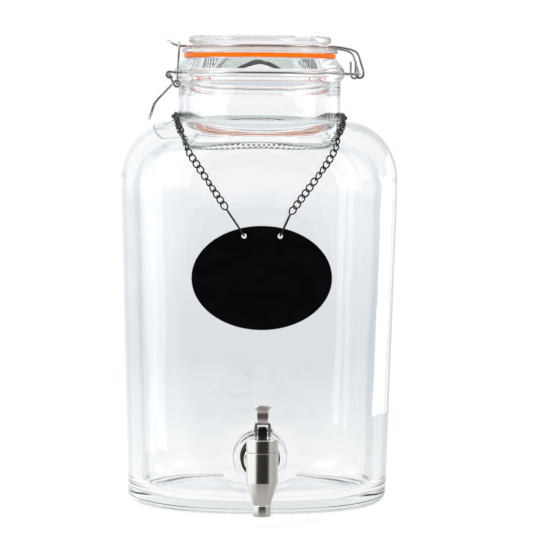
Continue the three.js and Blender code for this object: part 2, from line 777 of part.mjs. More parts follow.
function makeLeverPin() {
  const head = FORK_OUTER + GAP;
  const side = [
    [2.8, head],
    [2.7, head + 0.7],
    [1.6, head + 1.4],
    [0, head + 1.6],
  ];
  const profile = [
    ...side.map(([r, x]) => [r, -x]).reverse(),
    [1.5, -head],
    [1.5, head],
    ...side,
  ];
  const geometry = turnedAlongY(profile, 16);
  geometry.rotateZ(-Math.PI / 2);
  geometry.translate(0, 0, PIVOT_Z);
  return geometry;
}

// ---------------------------------------------------------------- materials

const finish = (color, roughness, metalness, extra = {}) => new THREE.MeshStandardMaterial({
  color, roughness, metalness, ...extra,
});
const glass = finish(0xdfe8ea, 0.05, 0, { transparent: true, opacity: 0.35 });
const rubberOrange = finish(0xfa6000, 0.45, 0);
const rubberBlack = finish(0x1c1c1c, 0.6, 0);
const wire = finish(0x9a9a98, 0.3, 1);
const steel = finish(0xc9c5bf, 0.32, 1);
const blackMetal = finish(0x262424, 0.4, 0.6);
const chalkboard = finish(0x0b0a10, 0.6, 0);
const blackPlastic = finish(0x121212, 0.35, 0);

// ---------------------------------------------------------------- assembly

const dispenser = new THREE.Group();
const lid = new THREE.Group();
const tap = new THREE.Group();
tap.position.set(0, TAP_Y, 0);
dispenser.add(lid, tap);

function place(parent, name, geometry, material) {
  const mesh = new THREE.Mesh(geometry, material);
  mesh.name = name;
  parent.add(mesh);
  return mesh;
}

place(dispenser, 'glass_jar', makeJar(), glass);
place(lid, 'glass_lid', makeLid(), glass);
place(lid, 'lid_gasket', makeGasket(), rubberOrange);
place(lid, 'lid_wire', makeLidWire(), wire);
place(dispenser, 'neck_wire', makeNeckWire(), wire);
place(dispenser, 'clamp_lever', makeClampLever(), wire);
place(dispenser, 'clamp_bail', makeClampBail(), wire);

const leftStrand = strandStations(-1, LEFT_ROUTE);
const rightStrand = strandStations(1, RIGHT_ROUTE);
place(dispenser, 'chain_back', bar(backStations(), CHAIN_WIDTH, CHAIN_SIDES), blackMetal);
place(dispenser, 'chain_left', bar(leftStrand, CHAIN_WIDTH, CHAIN_SIDES), blackMetal);
place(dispenser, 'chain_right', bar(rightStrand, CHAIN_WIDTH, CHAIN_SIDES), blackMetal);
place(dispenser, 'tag_link_left', makeTagLink(leftStrand.at(-1), -1), blackMetal);
place(dispenser, 'tag_link_right', makeTagLink(rightStrand.at(-1), 1), blackMetal);
place(dispenser, 'chalk_tag', makeTag(), chalkboard);

place(tap, 'tap_body', makeTapBody(), steel);
place(tap, 'tap_bonnet', makeTapBonnet(), steel);
place(tap, 'valve_plug', makeValvePlug(), rubberBlack);
place(tap, 'valve_stem', makeValveStem(), blackPlastic);
place(tap, 'valve_spring', makeValveSpring(), steel);
place(tap, 'tap_lever', makeTapLever(), steel);
place(tap, 'lever_pin', makeLeverPin(), steel);

const shankPieces = new THREE.Group();
shankPieces.position.set(0, 0, SHANK_Z);
dispenser.add(shankPieces);
place(shankPieces, 'tap_shank', makeTapShank(), steel);
place(shankPieces, 'outer_washer', makeWasher(WASHER_RADIUS, WASHER_FRONT_Y, WASHER_THICKNESS, 0.8),
  rubberBlack);
place(shankPieces, 'inner_washer', makeWasher(WASHER_RADIUS, INNER_WASHER_Y, WASHER_THICKNESS, 0.8),
  rubberBlack);
place(shankPieces, 'steel_washer', makeWasher(14.5, STEEL_WASHER_Y, 1.5, 0.3), steel);
place(shankPieces, 'shank_nut', makeNut(), steel);

export default dispenser;
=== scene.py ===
"""Looks of a clip-top glass dispenser jar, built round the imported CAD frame.

Shapes are written in millimetres in the frame's axes and turned into metres by make().
"""

import math

import bmesh
import bpy
from mathutils import Matrix, Vector, noise


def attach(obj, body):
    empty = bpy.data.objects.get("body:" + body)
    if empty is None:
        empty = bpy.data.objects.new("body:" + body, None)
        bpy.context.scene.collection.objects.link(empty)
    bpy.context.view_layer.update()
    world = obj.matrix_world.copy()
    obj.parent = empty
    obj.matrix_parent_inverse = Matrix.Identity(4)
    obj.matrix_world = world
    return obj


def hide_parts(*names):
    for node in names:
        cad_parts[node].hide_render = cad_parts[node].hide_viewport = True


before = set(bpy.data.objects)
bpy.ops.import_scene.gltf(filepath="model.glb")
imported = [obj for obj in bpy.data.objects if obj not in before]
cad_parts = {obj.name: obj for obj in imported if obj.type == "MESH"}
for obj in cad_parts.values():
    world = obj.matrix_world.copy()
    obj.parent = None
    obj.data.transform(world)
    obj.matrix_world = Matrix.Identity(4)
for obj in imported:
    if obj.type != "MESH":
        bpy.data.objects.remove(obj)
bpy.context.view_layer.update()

MM = 0.001
scene = bpy.context.scene

# ------------------------------------------------------------------ dimensions, in millimetres

BASE_HALF_WIDTH = 109.5
TOP_HALF_WIDTH = 116
TAPER_TOP_Z = 250
DEPTH_RATIO = 0.73
SQUARENESS = 2.5
HEEL_RADIUS = 8
SHOULDER_Z = 272
SHOULDER_TOP_Z = 320
SHOULDER_INNER_X = 70.5
NECK_RADIUS = 68
NECK_BORE = 62.5
SIDE_WALL = 9.5
INNER_DEPTH_RATIO = 0.742
INNER_SQUARENESS = 2.35
WIRE = 1.05

LID_TOP_Z = 389.6

TAP_Y = -130
SHANK_Z = 47.5
NOZZLE_BOTTOM = 10
CONE_BOTTOM = 18.6
CONE_TOP = 37.8
JOINT_Z = 61.2
BONNET_TOP = 72
PIVOT_Z = 78.2
FORK_TOP = 84.5
PADDLE_TOP = 99.3
BOSS_RADIUS = 21.9
BOSS_FRONT_Y = -84.2
BOSS_BACK_Y = -72.6
TAG_FRONT_Y = -89.2
TAG_Z = 194.8


# ------------------------------------------------------------------ mesh helpers


def arc(cx, cy, rx, ry, start, end, count):
    """Points of an elliptical arc, angles in degrees."""
    turns = [math.radians(start + (end - start) * i / count) for i in range(count + 1)]
    return [(cx + rx * math.cos(a), cy + ry * math.sin(a)) for a in turns]


def rounded(points, closed=False, steps=5):
    """A polyline of (a, b) or (a, b, radius) points with its corners rounded."""
    out = []
    last = len(points) - 1
    for i, point in enumerate(points):
        here = Vector(point[:2])
        radius = point[2] if len(point) > 2 else 0
        if radius <= 0 or (not closed and i in (0, last)):
            out.append(tuple(here))
            continue
        before = Vector(points[i - 1][:2]) - here
        after = Vector(points[(i + 1) % len(points)][:2]) - here
        half = before.angle(after) / 2
        reach = min(radius / math.tan(half), 0.48 * before.length, 0.48 * after.length)
        a = here + before.normalized() * reach
        b = here + after.normalized() * reach
        for k in range(steps + 1):
            s = k / steps
            out.append(tuple(a * (1 - s) ** 2 + here * (2 * s * (1 - s)) + b * s * s))
    return out


def spline(points, spacing=1.5, closed=False):
    """A centripetal curve through the points, with points about every spacing."""
    pts = [Vector(p) for p in points]
    if closed:
        pts = [pts[-1], *pts, pts[0], pts[1]]
    else:
        pts = [2 * pts[0] - pts[1], *pts, 2 * pts[-1] - pts[-2]]
    out = []
    for p0, p1, p2, p3 in zip(pts, pts[1:], pts[2:], pts[3:]):
        t0 = 0
        t1 = t0 + max((p1 - p0).length, 1e-6) ** 0.5
        t2 = t1 + max((p2 - p1).length, 1e-6) ** 0.5
        t3 = t2 + max((p3 - p2).length, 1e-6) ** 0.5
        count = max(1, round((p2 - p1).length / spacing))
        for i in range(count):
            t = t1 + (t2 - t1) * i / count
            a1 = p0 * ((t1 - t) / (t1 - t0)) + p1 * ((t - t0) / (t1 - t0))
            a2 = p1 * ((t2 - t) / (t2 - t1)) + p2 * ((t - t1) / (t2 - t1))
            a3 = p2 * ((t3 - t) / (t3 - t2)) + p3 * ((t - t2) / (t3 - t2))
            b1 = a1 * ((t2 - t) / (t2 - t0)) + a2 * ((t - t0) / (t2 - t0))
            b2 = a2 * ((t3 - t) / (t3 - t1)) + a3 * ((t - t1) / (t3 - t1))
            out.append(b1 * ((t2 - t) / (t2 - t1)) + b2 * ((t - t1) / (t2 - t1)))
    if not closed:
        out.append(pts[-2])
    return out


def make(name, verts, faces, sharp=38):
    """A mesh object from millimetre points, smooth but for edges sharper than the angle."""
    mesh = bpy.data.meshes.new(name)
    mesh.from_pydata([Vector(v) * MM for v in verts], [], faces)
    return settle(bpy.data.objects.new(name, mesh), sharp)


def settle(obj, sharp=38):
    """Welds, turns the faces outward and sets the shading of an object's mesh."""
    bm = bmesh.new()
    bm.from_mesh(obj.data)
    bmesh.ops.remove_doubles(bm, verts=bm.verts, dist=1e-6)
    bmesh.ops.recalc_face_normals(bm, faces=bm.faces)
    bm.to_mesh(obj.data)
    bm.free()
    for polygon in obj.data.polygons:
        polygon.use_smooth = True
    obj.data.set_sharp_from_angle(angle=math.radians(sharp))
    if not obj.users_collection:
        scene.collection.objects.link(obj)
    return obj


def lathe(name, profile, segments=96, place=None, closed=False, sharp=38):
    """A body of revolution from (radius, height) points.

    place(bearing, radius, height) gives the point; by default it is a body about Z.
    """
    place = place or (lambda a, r, h: (r * math.cos(a), r * math.sin(a), h))
    verts, rows = [], []
    for r, h in profile:
        if abs(r) < 1e-6:
            rows.append([len(verts)] * segments)
            verts.append(place(0, 0, h))
            continue
        rows.append([len(verts) + i for i in range(segments)])
        verts += [place(2 * math.pi * i / segments, r, h) for i in range(segments)]
    faces = []
    pairs = list(zip(rows, rows[1:]))
    if closed:
        pairs.append((rows[-1], rows[0]))
    for low, high in pairs:
        for i in range(segments):
            j = (i + 1) % segments
            corners = list(dict.fromkeys((low[i], low[j], high[j], high[i])))
            if len(corners) > 2:
                faces.append(corners)
    return make(name, verts, faces, sharp)


def about_z(x=0, y=0):
    return lambda a, r, h: (x + r * math.cos(a), y + r * math.sin(a), h)


def about_y(x, z):
    return lambda a, r, h: (x + r * math.cos(a), h, z + r * math.sin(a))


def about_x(y, z):
    return lambda a, r, h: (h, y + r * math.cos(a), z + r * math.sin(a))


def tube(name, points, radius, sides=12, closed=False):
    """A round bar along dense points, with slightly domed ends."""
    verts, faces = tube_parts(points, radius, sides, closed)
    return make(name, verts, faces, 50)


def tube_parts(points, radius, sides, closed):
    pts = [Vector(p) for p in points]
    count = len(pts)
    tangents = []
    for i in range(count):
        before = pts[i - 1] if closed or i > 0 else pts[0]
        after = pts[(i + 1) % count] if closed or i < count - 1 else pts[-1]
        tangents.append((after - before).normalized())
    side = tangents[0].orthogonal().normalized()
    sides_at = [side]
    for before, after in zip(tangents, tangents[1:]):
        side = before.rotation_difference(after) @ side
        side = (side - after * side.dot(after)).normalized()
        sides_at.append(side)
    if closed:
        turn = tangents[-1].rotation_difference(tangents[0]) @ sides_at[-1]
        drift = math.atan2(turn.cross(sides_at[0]).dot(tangents[0]), turn.dot(sides_at[0]))
        for i in range(count):
            sides_at[i] = Matrix.Rotation(drift * i / count, 3, tangents[i]) @ sides_at[i]
    rings = [(pts[i], tangents[i], sides_at[i], radius) for i in range(count)]
    if not closed:
        bulge = [(0.30, 0.90), (0.46, 0.62), (0.52, 0.25)]
        ends = ((0, -1), (-1, 1))
        caps = []
        for index, way in ends:
            p, t, s, _ = rings[index]
            caps.append([(p + t * (way * radius * a), t, s, radius * b) for a, b in bulge])
        rings = caps[0][::-1] + rings + caps[1]
    verts = []
    for p, t, s, r in rings:
        other = t.cross(s)
        for k in range(sides):
            a = 2 * math.pi * k / sides
            verts.append(p + (s * math.cos(a) + other * math.sin(a)) * r)
    faces = []
    last = len(rings) if closed else len(rings) - 1
    for i in range(last):
        j = (i + 1) % len(rings)
        for k in range(sides):
            m = (k + 1) % sides
            faces.append((i * sides + k, i * sides + m, j * sides + m, j * sides + k))
    if not closed:
        faces.append(tuple(range(sides)))
        faces.append(tuple(range((len(rings) - 1) * sides, len(rings) * sides)))
    return verts, faces


def carve(obj, cutters, operation="DIFFERENCE", sharp=38):
    """Applies boolean steps to an object and removes the cutters."""
    for cutter in cutters:
        step = obj.modifiers.new("cut", "BOOLEAN")
        step.object = cutter
        step.operation = operation
        step.solver = "EXACT"
    baked(obj)
    for cutter in cutters:
        bpy.data.objects.remove(cutter)
    return settle(obj, sharp)


def baked(obj):
    """Applies an object's modifiers."""
    bpy.context.view_layer.update()
    depsgraph = bpy.context.evaluated_depsgraph_get()
    mesh = bpy.data.meshes.new_from_object(obj.evaluated_get(depsgraph))
    obj.modifiers.clear()
    obj.data = mesh
    return obj


def bevelled(obj, width, segments=3, sharp=30):
    step = obj.modifiers.new("bevel", "BEVEL")
    step.width = width * MM
    step.segments = segments
    step.limit_method = "ANGLE"
    step.angle_limit = math.radians(30)
    baked(obj)
    return settle(obj, sharp)


def prism(name, outline, low, high, place, sharp=30):
    """A straight extrusion of a closed outline; place(a, b, h) gives a point."""
    count = len(outline)
    verts = [place(a, b, low) for a, b in outline] + [place(a, b, high) for a, b in outline]
    faces = [tuple(range(count)), tuple(range(count, 2 * count))]
    for i in range(count):
        j = (i + 1) % count
        faces.append((i, j, count + j, count + i))
    return make(name, verts, faces, sharp)


def mirrored(points):
    return [Vector((p[0], -p[1], p[2])) for p in reversed([Vector(q) for q in points])]


# ------------------------------------------------------------------ materials


class Nodes:
    """A short way to write a material's node tree."""

    def __init__(self, name):
        self.material = bpy.data.materials.new(name)
        self.material.use_nodes = True
        self.tree = self.material.node_tree
        self.shader = self.tree.nodes["Principled BSDF"]
        self.output = self.tree.nodes["Material Output"]
        self.place = self.add("ShaderNodeTexCoord").outputs["Object"]

    def add(self, kind, **values):
        node = self.tree.nodes.new(kind)
        for key, value in values.items():
            setattr(node, key, value)
        return node

    def link(self, source, target):
        self.tree.links.new(source, target)

    def set(self, **values):
        for key, value in values.items():
            self.shader.inputs[key.replace("_", " ")].default_value = value

    def noise(self, scale, detail=3, roughness=0.5, stretch=None, distortion=0):
        """Noise of the object's place; stretch scales the axes."""
        texture = self.add("ShaderNodeTexNoise")
        texture.inputs["Scale"].default_value = scale
        texture.inputs["Detail"].default_value = detail
        texture.inputs["Roughness"].default_value = roughness
        texture.inputs["Distortion"].default_value = distortion
        source = self.place
        if stretch:
            mapping = self.add("ShaderNodeMapping")
            mapping.inputs["Scale"].default_value = stretch
            self.link(source, mapping.inputs["Vector"])
            source = mapping.outputs["Vector"]
        self.link(source, texture.inputs["Vector"])
        return texture.outputs["Fac"]

    def ramp(self, source, stops):
        """Colours or greys between stops of (position, value)."""
        ramp = self.add("ShaderNodeValToRGB")
        elements = ramp.color_ramp.elements
        while len(elements) < len(stops):
            elements.new(0.5)
        for element, (position, value) in zip(elements, stops):
            element.position = position
            colour = value if isinstance(value, tuple) else (value,) * 3
            element.color = (*colour, 1)
        self.link(source, ramp.inputs["Fac"])
        return ramp.outputs["Color"]

    def colour(self, source, stops):
        self.link(self.ramp(source, stops), self.shader.inputs["Base Color"])

    def rough(self, source, low, high):
        spread = self.add("ShaderNodeMapRange")
        spread.inputs["To Min"].default_value = low
        spread.inputs["To Max"].default_value = high
        self.link(source, spread.inputs["Value"])
        self.link(spread.outputs["Result"], self.shader.inputs["Roughness"])

    def bump(self, source, depth, strength=1):
        """Bump of a depth in millimetres."""
        bump = self.add("ShaderNodeBump")
        bump.inputs["Distance"].default_value = depth * MM
        bump.inputs["Strength"].default_value = strength
        self.link(source, bump.inputs["Height"])
        previous = self.shader.inputs["Normal"].links
        if previous:
            self.link(previous[0].from_socket, bump.inputs["Normal"])
        self.link(bump.outputs["Normal"], self.shader.inputs["Normal"])


# Painted shade on the glass, from straight on (0) to edge on (1): the colour darkens where the
# surface is seen at a slant.
GLASS_EDGE_PAINTED_SHADE = [
    (0.60, (1, 1, 1)),
    (0.68, (0.66, 0.71, 0.76)),
    (0.77, (0.62, 0.67, 0.72)),
    (0.92, (0.80, 0.83, 0.85)),
]


def glass_material():
    """Clear soda glass with a faint grey-green body colour that shows in thick parts."""
    n = Nodes("clear_glass")
    n.set(Roughness=0, IOR=1.5, Transmission_Weight=1)
    slant = n.add("ShaderNodeLayerWeight")
    slant.inputs["Blend"].default_value = 0.5
    # The base colour is painted shade: darker where the glass is seen edge on.
    n.colour(slant.outputs["Facing"], GLASS_EDGE_PAINTED_SHADE)
    body = n.add("ShaderNodeVolumeAbsorption")
    body.inputs["Color"].default_value = (0.50, 0.62, 0.52, 1)
    body.inputs["Density"].default_value = 2.6
    n.link(body.outputs["Volume"], n.output.inputs["Volume"])
    n.bump(n.noise(22, 2, 0.4), 0.35)
    return n.material


def gasket_material():
    n = Nodes("orange_rubber")
    n.set(IOR=1.5, Specular_IOR_Level=0.06)
    n.colour(n.noise(160, 3), [(0.3, (0.95, 0.135, 0.000)), (0.75, (1.0, 0.200, 0.001))])
    n.rough(n.noise(420, 2), 0.26, 0.40)
    n.bump(n.noise(1500, 2), 0.02)
    return n.material


def wire_material():
    n = Nodes("drawn_wire")
    n.set(Metallic=1)
    n.colour(n.noise(260, 3), [(0.25, (0.50, 0.50, 0.495)), (0.8, (0.62, 0.62, 0.61))])
    n.rough(n.noise(600, 3), 0.16, 0.30)
    n.bump(n.noise(2600, 2), 0.006)
    return n.material


def steel_material(name, stretch, grain=0.002, tone=(0.72, 0.705, 0.68), rough=(0.17, 0.27)):
    """Brushed stainless steel; stretch is how fast the grain changes along each axis."""
    n = Nodes(name)
    n.set(Metallic=1)
    light = tuple(min(1, c * 1.09) for c in tone)
    lines = n.noise(1, 3, 0.6, stretch)
    n.colour(lines, [(0.3, tone), (0.72, light)])
    n.rough(n.noise(1, 2, 0.5, tuple(s * 0.6 for s in stretch)), *rough)
    n.bump(lines, grain)
    return n.material


def black_metal_material():
    n = Nodes("black_chain")
    n.set(Metallic=0.85, IOR=1.5)
    n.colour(n.noise(420, 3), [(0.3, (0.022, 0.021, 0.020)), (0.8, (0.055, 0.052, 0.050))])
    n.rough(n.noise(900, 3), 0.28, 0.46)
    n.bump(n.noise(2400, 2), 0.008)
    return n.material


def chalkboard_material():
    """Matt black board paint with a trace of wiped chalk."""
    n = Nodes("chalkboard_paint")
    n.set(IOR=1.45, Specular_IOR_Level=0.12)
    dust = n.noise(34, 5, 0.62, (1, 1, 2.2), 0.6)
    n.colour(dust, [(0.35, (0.0012, 0.0010, 0.0018)), (0.8, (0.0032, 0.0029, 0.0040))])
    n.rough(n.noise(300, 3), 0.30, 0.44)
    n.bump(n.noise(2600, 3, 0.6), 0.012)
    return n.material


def black_rubber_material():
    n = Nodes("black_rubber")
    n.set(IOR=1.5)
    n.colour(n.noise(300, 3), [(0.3, (0.008, 0.008, 0.008)), (0.8, (0.019, 0.019, 0.019))])
    n.rough(n.noise(500, 3), 0.5, 0.68)
    n.bump(n.noise(1800, 3), 0.02)
    return n.material


def black_plastic_material():
    n = Nodes("black_plastic")
    n.set(IOR=1.5)
    n.colour(n.noise(240, 2), [(0.3, (0.005, 0.005, 0.005)), (0.8, (0.010, 0.010, 0.010))])
    n.rough(n.noise(700, 2), 0.24, 0.34)
    n.bump(n.noise(1500, 2), 0.008)
    return n.material


GLASS = glass_material()
ORANGE = gasket_material()
WIRE_STEEL = wire_material()
TURNED_STEEL = steel_material("turned_steel", (30, 30, 7800))
SATIN_STEEL = steel_material("satin_steel", (6400, 90, 90), 0.001, rough=(0.36, 0.46))
HIDDEN_STEEL = steel_material("plain_steel", (500, 500, 500))
BLACK_METAL = black_metal_material()
CHALKBOARD = chalkboard_material()
BLACK_RUBBER = black_rubber_material()
BLACK_PLASTIC = black_plastic_material()


def dress(obj, material, slot, body, *nodes):
    """Gives a piece its material and its body, and hides the nodes it stands for; slot is not
    used.
    """
    obj.data.materials.clear()
    obj.data.materials.append(material)
    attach(obj, body)
    if nodes:
        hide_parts(*nodes)
    return obj


# ------------------------------------------------------------------ the flask's plan


def clamp(value, low=0.0, high=1.0):
    return max(low, min(high, value))


def mix(a, b, t):
    return a + (b - a) * t


def outer_half_width(z):
    def wall(h):
        return mix(BASE_HALF_WIDTH, TOP_HALF_WIDTH, clamp(h / TAPER_TOP_Z))

    if z < HEEL_RADIUS:
        drop = HEEL_RADIUS - max(z, 0)
        return wall(z) - HEEL_RADIUS + math.sqrt(HEEL_RADIUS**2 - drop**2)
    if z <= SHOULDER_Z:
        return wall(z)
    if z < SHOULDER_TOP_Z:
        t = (z - SHOULDER_Z) / (SHOULDER_TOP_Z - SHOULDER_Z)
        return SHOULDER_INNER_X + (TOP_HALF_WIDTH - SHOULDER_INNER_X) * math.sqrt(1 - t * t)
    return NECK_RADIUS


def oval_stretch(bearing, spread, neck, body, depth_ratio, squareness):
    """The plan for a half-width of 1: round where spread is 0, squarish and shallow where 1."""
    half = mix(neck, body, spread)
    depth = mix(neck, body * depth_ratio, spread)
    power = mix(2, squareness, spread)
    across = abs(math.cos(bearing)) ** power
    along = abs(math.sin(bearing) * half / depth) ** power
    return (across + along) ** (-1 / power)


def plan_stretch(bearing, z):
    """The outside: squarish in the body, round in the neck, blended over the shoulder."""
    spread = 1.0
    if z > SHOULDER_Z:
        spread = clamp((outer_half_width(z) - NECK_RADIUS) / (TOP_HALF_WIDTH - NECK_RADIUS))
    return oval_stretch(bearing, spread, NECK_RADIUS, TOP_HALF_WIDTH, DEPTH_RATIO, SQUARENESS)


def inner_stretch(bearing, r, z):
    """The inside, blended by its own half-width, so that it never narrows below the neck."""
    body = TOP_HALF_WIDTH - SIDE_WALL
    spread = clamp((r - NECK_BORE) / (body - NECK_BORE)) if z > TAPER_TOP_Z else 1.0
    return oval_stretch(bearing, spread, NECK_BORE, body, INNER_DEPTH_RATIO, INNER_SQUARENESS)


def on_glass(bearing_degrees, z, clearance):
    """A point outside the glass at a bearing from +X, moved out by a clearance."""

    def point(degrees, height):
        a = math.radians(degrees)
        r = outer_half_width(height) * plan_stretch(a, height)
        return Vector((r * math.cos(a), r * math.sin(a), height))

    here = point(bearing_degrees, z)
    around = point(bearing_degrees + 1, z) - here
    rise = point(bearing_degrees, z + 0.5) - here
    return here + around.cross(rise).normalized() * clearance


# ------------------------------------------------------------------ glass jar


def jar_outside():
    """The outside, from the middle of the underside to the mouth."""
    inner_heel = BASE_HALF_WIDTH - HEEL_RADIUS
    shoulder = arc(
        SHOULDER_INNER_X,
        SHOULDER_Z,
        TOP_HALF_WIDTH - SHOULDER_INNER_X,
        SHOULDER_TOP_Z - SHOULDER_Z,
        0,
        90,
        30,
    )
    neck = rounded(
        [
            (SHOULDER_INNER_X, SHOULDER_TOP_Z),
            (NECK_RADIUS, SHOULDER_TOP_Z, 3.5),
            (NECK_RADIUS, 353, 3),
            (70.9, 355.9, 1.4),
            (70.9, 357.9, 0.6),
            (70.3, 358.2, 0.6),
            (70.3, 360.4, 0.6),
            (71.3, 361, 0.7),
            (71.0, 362.4, 1.2),
            (64.6, 371.0, 1.4),
            (62.6, 371.6),
        ]
    )
    walls = [(outer_half_width(z), z) for z in range(20, 272, 14)]
    return [
        (0, 1.4),
        (28, 1.38),
        (55, 1.2),
        (75, 0.8),
        (87, 0.3),
        (90, 0.1),
        (92, 0),
        *arc(inner_heel, HEEL_RADIUS, HEEL_RADIUS, HEEL_RADIUS, -90, 0, 14),
        *walls,
        *shoulder,
        *neck[1:],
    ]


def jar_inside():
    """The inside, from the mouth down to the middle of the floor."""
    base = BASE_HALF_WIDTH - SIDE_WALL
    top = TOP_HALF_WIDTH - SIDE_WALL
    heel = 15
    return [
        *rounded([(62.6, 371.6), (60, 371.4, 1.2), (60, 352, 9), (62.4, 340, 9), (62.5, 326)]),
        *rounded([(62.5, 326), (62.9, 310.5, 16), (79.9, 306.4)], steps=14)[1:],
        *arc(70, 264, top - 70, 44, 74, 0, 22),
        *[(mix(top, base, (266 - z) / 240), z) for z in range(252, 26, -14)],
        *arc(base - heel, 9 + heel, heel, heel, 0, -82, 14),
        (70, 9.6),
        (45, 10.6),
        (22, 11.3),
        (0, 11.5),
    ]


def make_jar():
    outside = jar_outside()
    inside = jar_inside()
    edge = len(outside)
    profile = outside + inside[1:]
    rank = {}
    for i, point in enumerate(profile):
        rank[point] = i

    def place(a, r, h):
        within = rank[(r, h)] >= edge
        stretch = inner_stretch(a, r, h) if within else plan_stretch(a, h)
        x = r * stretch * math.cos(a)
        y = r * stretch * math.sin(a)
        if within and h < 330:
            # the inside is pressed and blown, so it is never quite even
            wave = noise.noise(Vector((x, y, h * 0.7)) / 46) * 0.55
            wave += noise.noise(Vector((x, y, h * 0.8)) / 19 + Vector((7, 3, 1))) * 0.14
            fade = clamp((330 - h) / 30) * clamp(r / 40)
            x += math.cos(a) * wave * fade
            y += math.sin(a) * wave * fade
        return (x, y, h)

    flask = lathe("glass_jar_body", profile, 224, place, sharp=60)
    boss = lathe(
        "boss",
        rounded(
            [
                (0, BOSS_FRONT_Y),
                (BOSS_RADIUS - 2.4, BOSS_FRONT_Y, 4),
                (BOSS_RADIUS + 1, BOSS_FRONT_Y + 2.5, 4),
                (BOSS_RADIUS + 11, BOSS_FRONT_Y + 4.1),
                (BOSS_RADIUS + 11, BOSS_BACK_Y - 4.4),
                (BOSS_RADIUS + 1, BOSS_BACK_Y - 2.2, 4),
                (BOSS_RADIUS - 3, BOSS_BACK_Y, 4),
                (0, BOSS_BACK_Y),
            ]
        ),
        96,
        about_y(0, SHANK_Z),
    )
    carve(flask, [boss], "UNION", 60)
    hole = lathe(
        "hole",
        [(0, -95), (8.3, -95), (8.3, -60), (0, -60)],
        64,
        about_y(0, SHANK_Z),
    )
    return carve(flask, [hole], "DIFFERENCE", 60)


def make_lid():
    profile = rounded(
        [
            (0, 372.4),
            (52, 372.4, 1.2),
            (55, 373.6, 0.8),
            (56.6, 375.7, 0.4),
            (65.3, 375.7, 1.0),
            (65.3, 378.9, 1.4),
            (57.6, 379.9, 1.2),
            (56, 380.8, 1.0),
            (56, 383.2, 1.2),
            (59.8, 384.5, 1.2),
            (59.8, LID_TOP_Z - 1.4, 1.6),
            (58.6, LID_TOP_Z, 1.2),
            (51.6, LID_TOP_Z, 1.2),
            (50.6, LID_TOP_Z - 3, 1.2),
            (49.4, 382, 2.4),
            (45, 379.6, 3),
            (0, 378.8),
        ],
        steps=7,
    )
    return lathe("glass_lid_body", profile, 160, sharp=50)


dress(make_jar(), GLASS, "glass", "jar", "glass_jar")
dress(make_lid(), GLASS, "glass", "lid", "glass_lid")

gasket_section = rounded(
    [(57.2, 371.9, 0.5), (63.6, 371.9, 1.1), (63.6, 375.4, 1.1), (57.2, 375.4, 0.5)],
    closed=True,
    steps=6,
)
gasket = lathe("gasket_ring", gasket_section, 160, closed=True, sharp=60)
dress(gasket, ORANGE, "orange_rubber", "lid", "lid_gasket")


# ------------------------------------------------------------------ closure wires

HINGE_X, HINGE_Z, HINGE_ARM_Y, HINGE_BAR_Y = 81.8, 359, 26, 29.5
LID_WIRE_RADIUS, LID_WIRE_Z = 57.5, 381.3
NECK_WIRE_RADIUS, NECK_WIRE_Z = 72.2, 359.3
EYE_X, EYE_Z, EYE_Y, COIL_RADIUS = -75.4, 357.2, 32.6, 2.6
BAIL_X, BAIL_Z = -69.1, 349.8
LEVER_ARM_Y, HANDLE_Y, BAIL_Y = 29.8, 27.2, 24.5


def level(radius, z, start, end, count):
    return [(x, y, z) for x, y in arc(0, 0, radius, radius, start, end, count)]


def upright(x, z, radius, y, start, end, count):
    return [(px, y, pz) for px, pz in arc(x, z, radius, radius, start, end, count)]


def lid_wire_path():
    y = -HINGE_ARM_Y
    arm = [
        (HINGE_X - 3.3, y, 369.6),
        (HINGE_X - 3.3, y, 365),
        (HINGE_X - 3.3, y, HINGE_Z + 0.8),
        *upright(HINGE_X, HINGE_Z, 3.3, y, 200, 350, 10),
        (84.95, y, 361.2),
        (83.2, y, 367),
        (80.8, y, 374.2),
        (79.5, y, 376.5),
        (77, y, 378.2),
        (73, y, 379.5),
        (66, y, 380.8),
        (60, y - 0.6, LID_WIRE_Z + 0.1),
        (53.6, y - 2.6, LID_WIRE_Z),
    ]
    half = level(LID_WIRE_RADIUS, LID_WIRE_Z, -36, -164, 30)
    nose = [
        (-58.2, -11.4, LID_WIRE_Z),
        (-60.6, -9.3, LID_WIRE_Z),
        (-64, -9, LID_WIRE_Z),
        (-68, -9, LID_WIRE_Z + 0.1),
        (-70.2, -9, LID_WIRE_Z + 0.8),
        (-73, -8.5, 383.2),
        (-75, -7.6, 384.6),
        (-76.6, -5.2, 385.5),
        (-77.2, -2, 385.8),
    ]
    side = [*arm, *half, *nose]
    return spline([*side, *mirrored(side)], 1.2)


def neck_wire_path():
    eye = [
        *upright(EYE_X, EYE_Z, COIL_RADIUS, -EYE_Y, 330, 95, 12),
        (-73.6, -EYE_Y, 359.6),
        (-71.5, -EYE_Y, NECK_WIRE_Z + 0.1),
        (-66.4, -EYE_Y + 0.6, NECK_WIRE_Z),
    ]
    half = level(NECK_WIRE_RADIUS, NECK_WIRE_Z, -154, -28, 30)
    hinge = [
        (66.2, -HINGE_BAR_Y - 0.6, NECK_WIRE_Z),
        (69.5, -HINGE_BAR_Y, NECK_WIRE_Z),
        (75, -HINGE_BAR_Y, HINGE_Z + 0.1),
        (80.2, -HINGE_BAR_Y, HINGE_Z),
        (81.3, -HINGE_BAR_Y + 0.5, HINGE_Z),
        (HINGE_X, -HINGE_BAR_Y + 1.6, HINGE_Z),
        (HINGE_X, -HINGE_BAR_Y + 5, HINGE_Z),
    ]
    side = [*eye, *half, *hinge]
    return spline([*side, *mirrored(side)], 1.2)


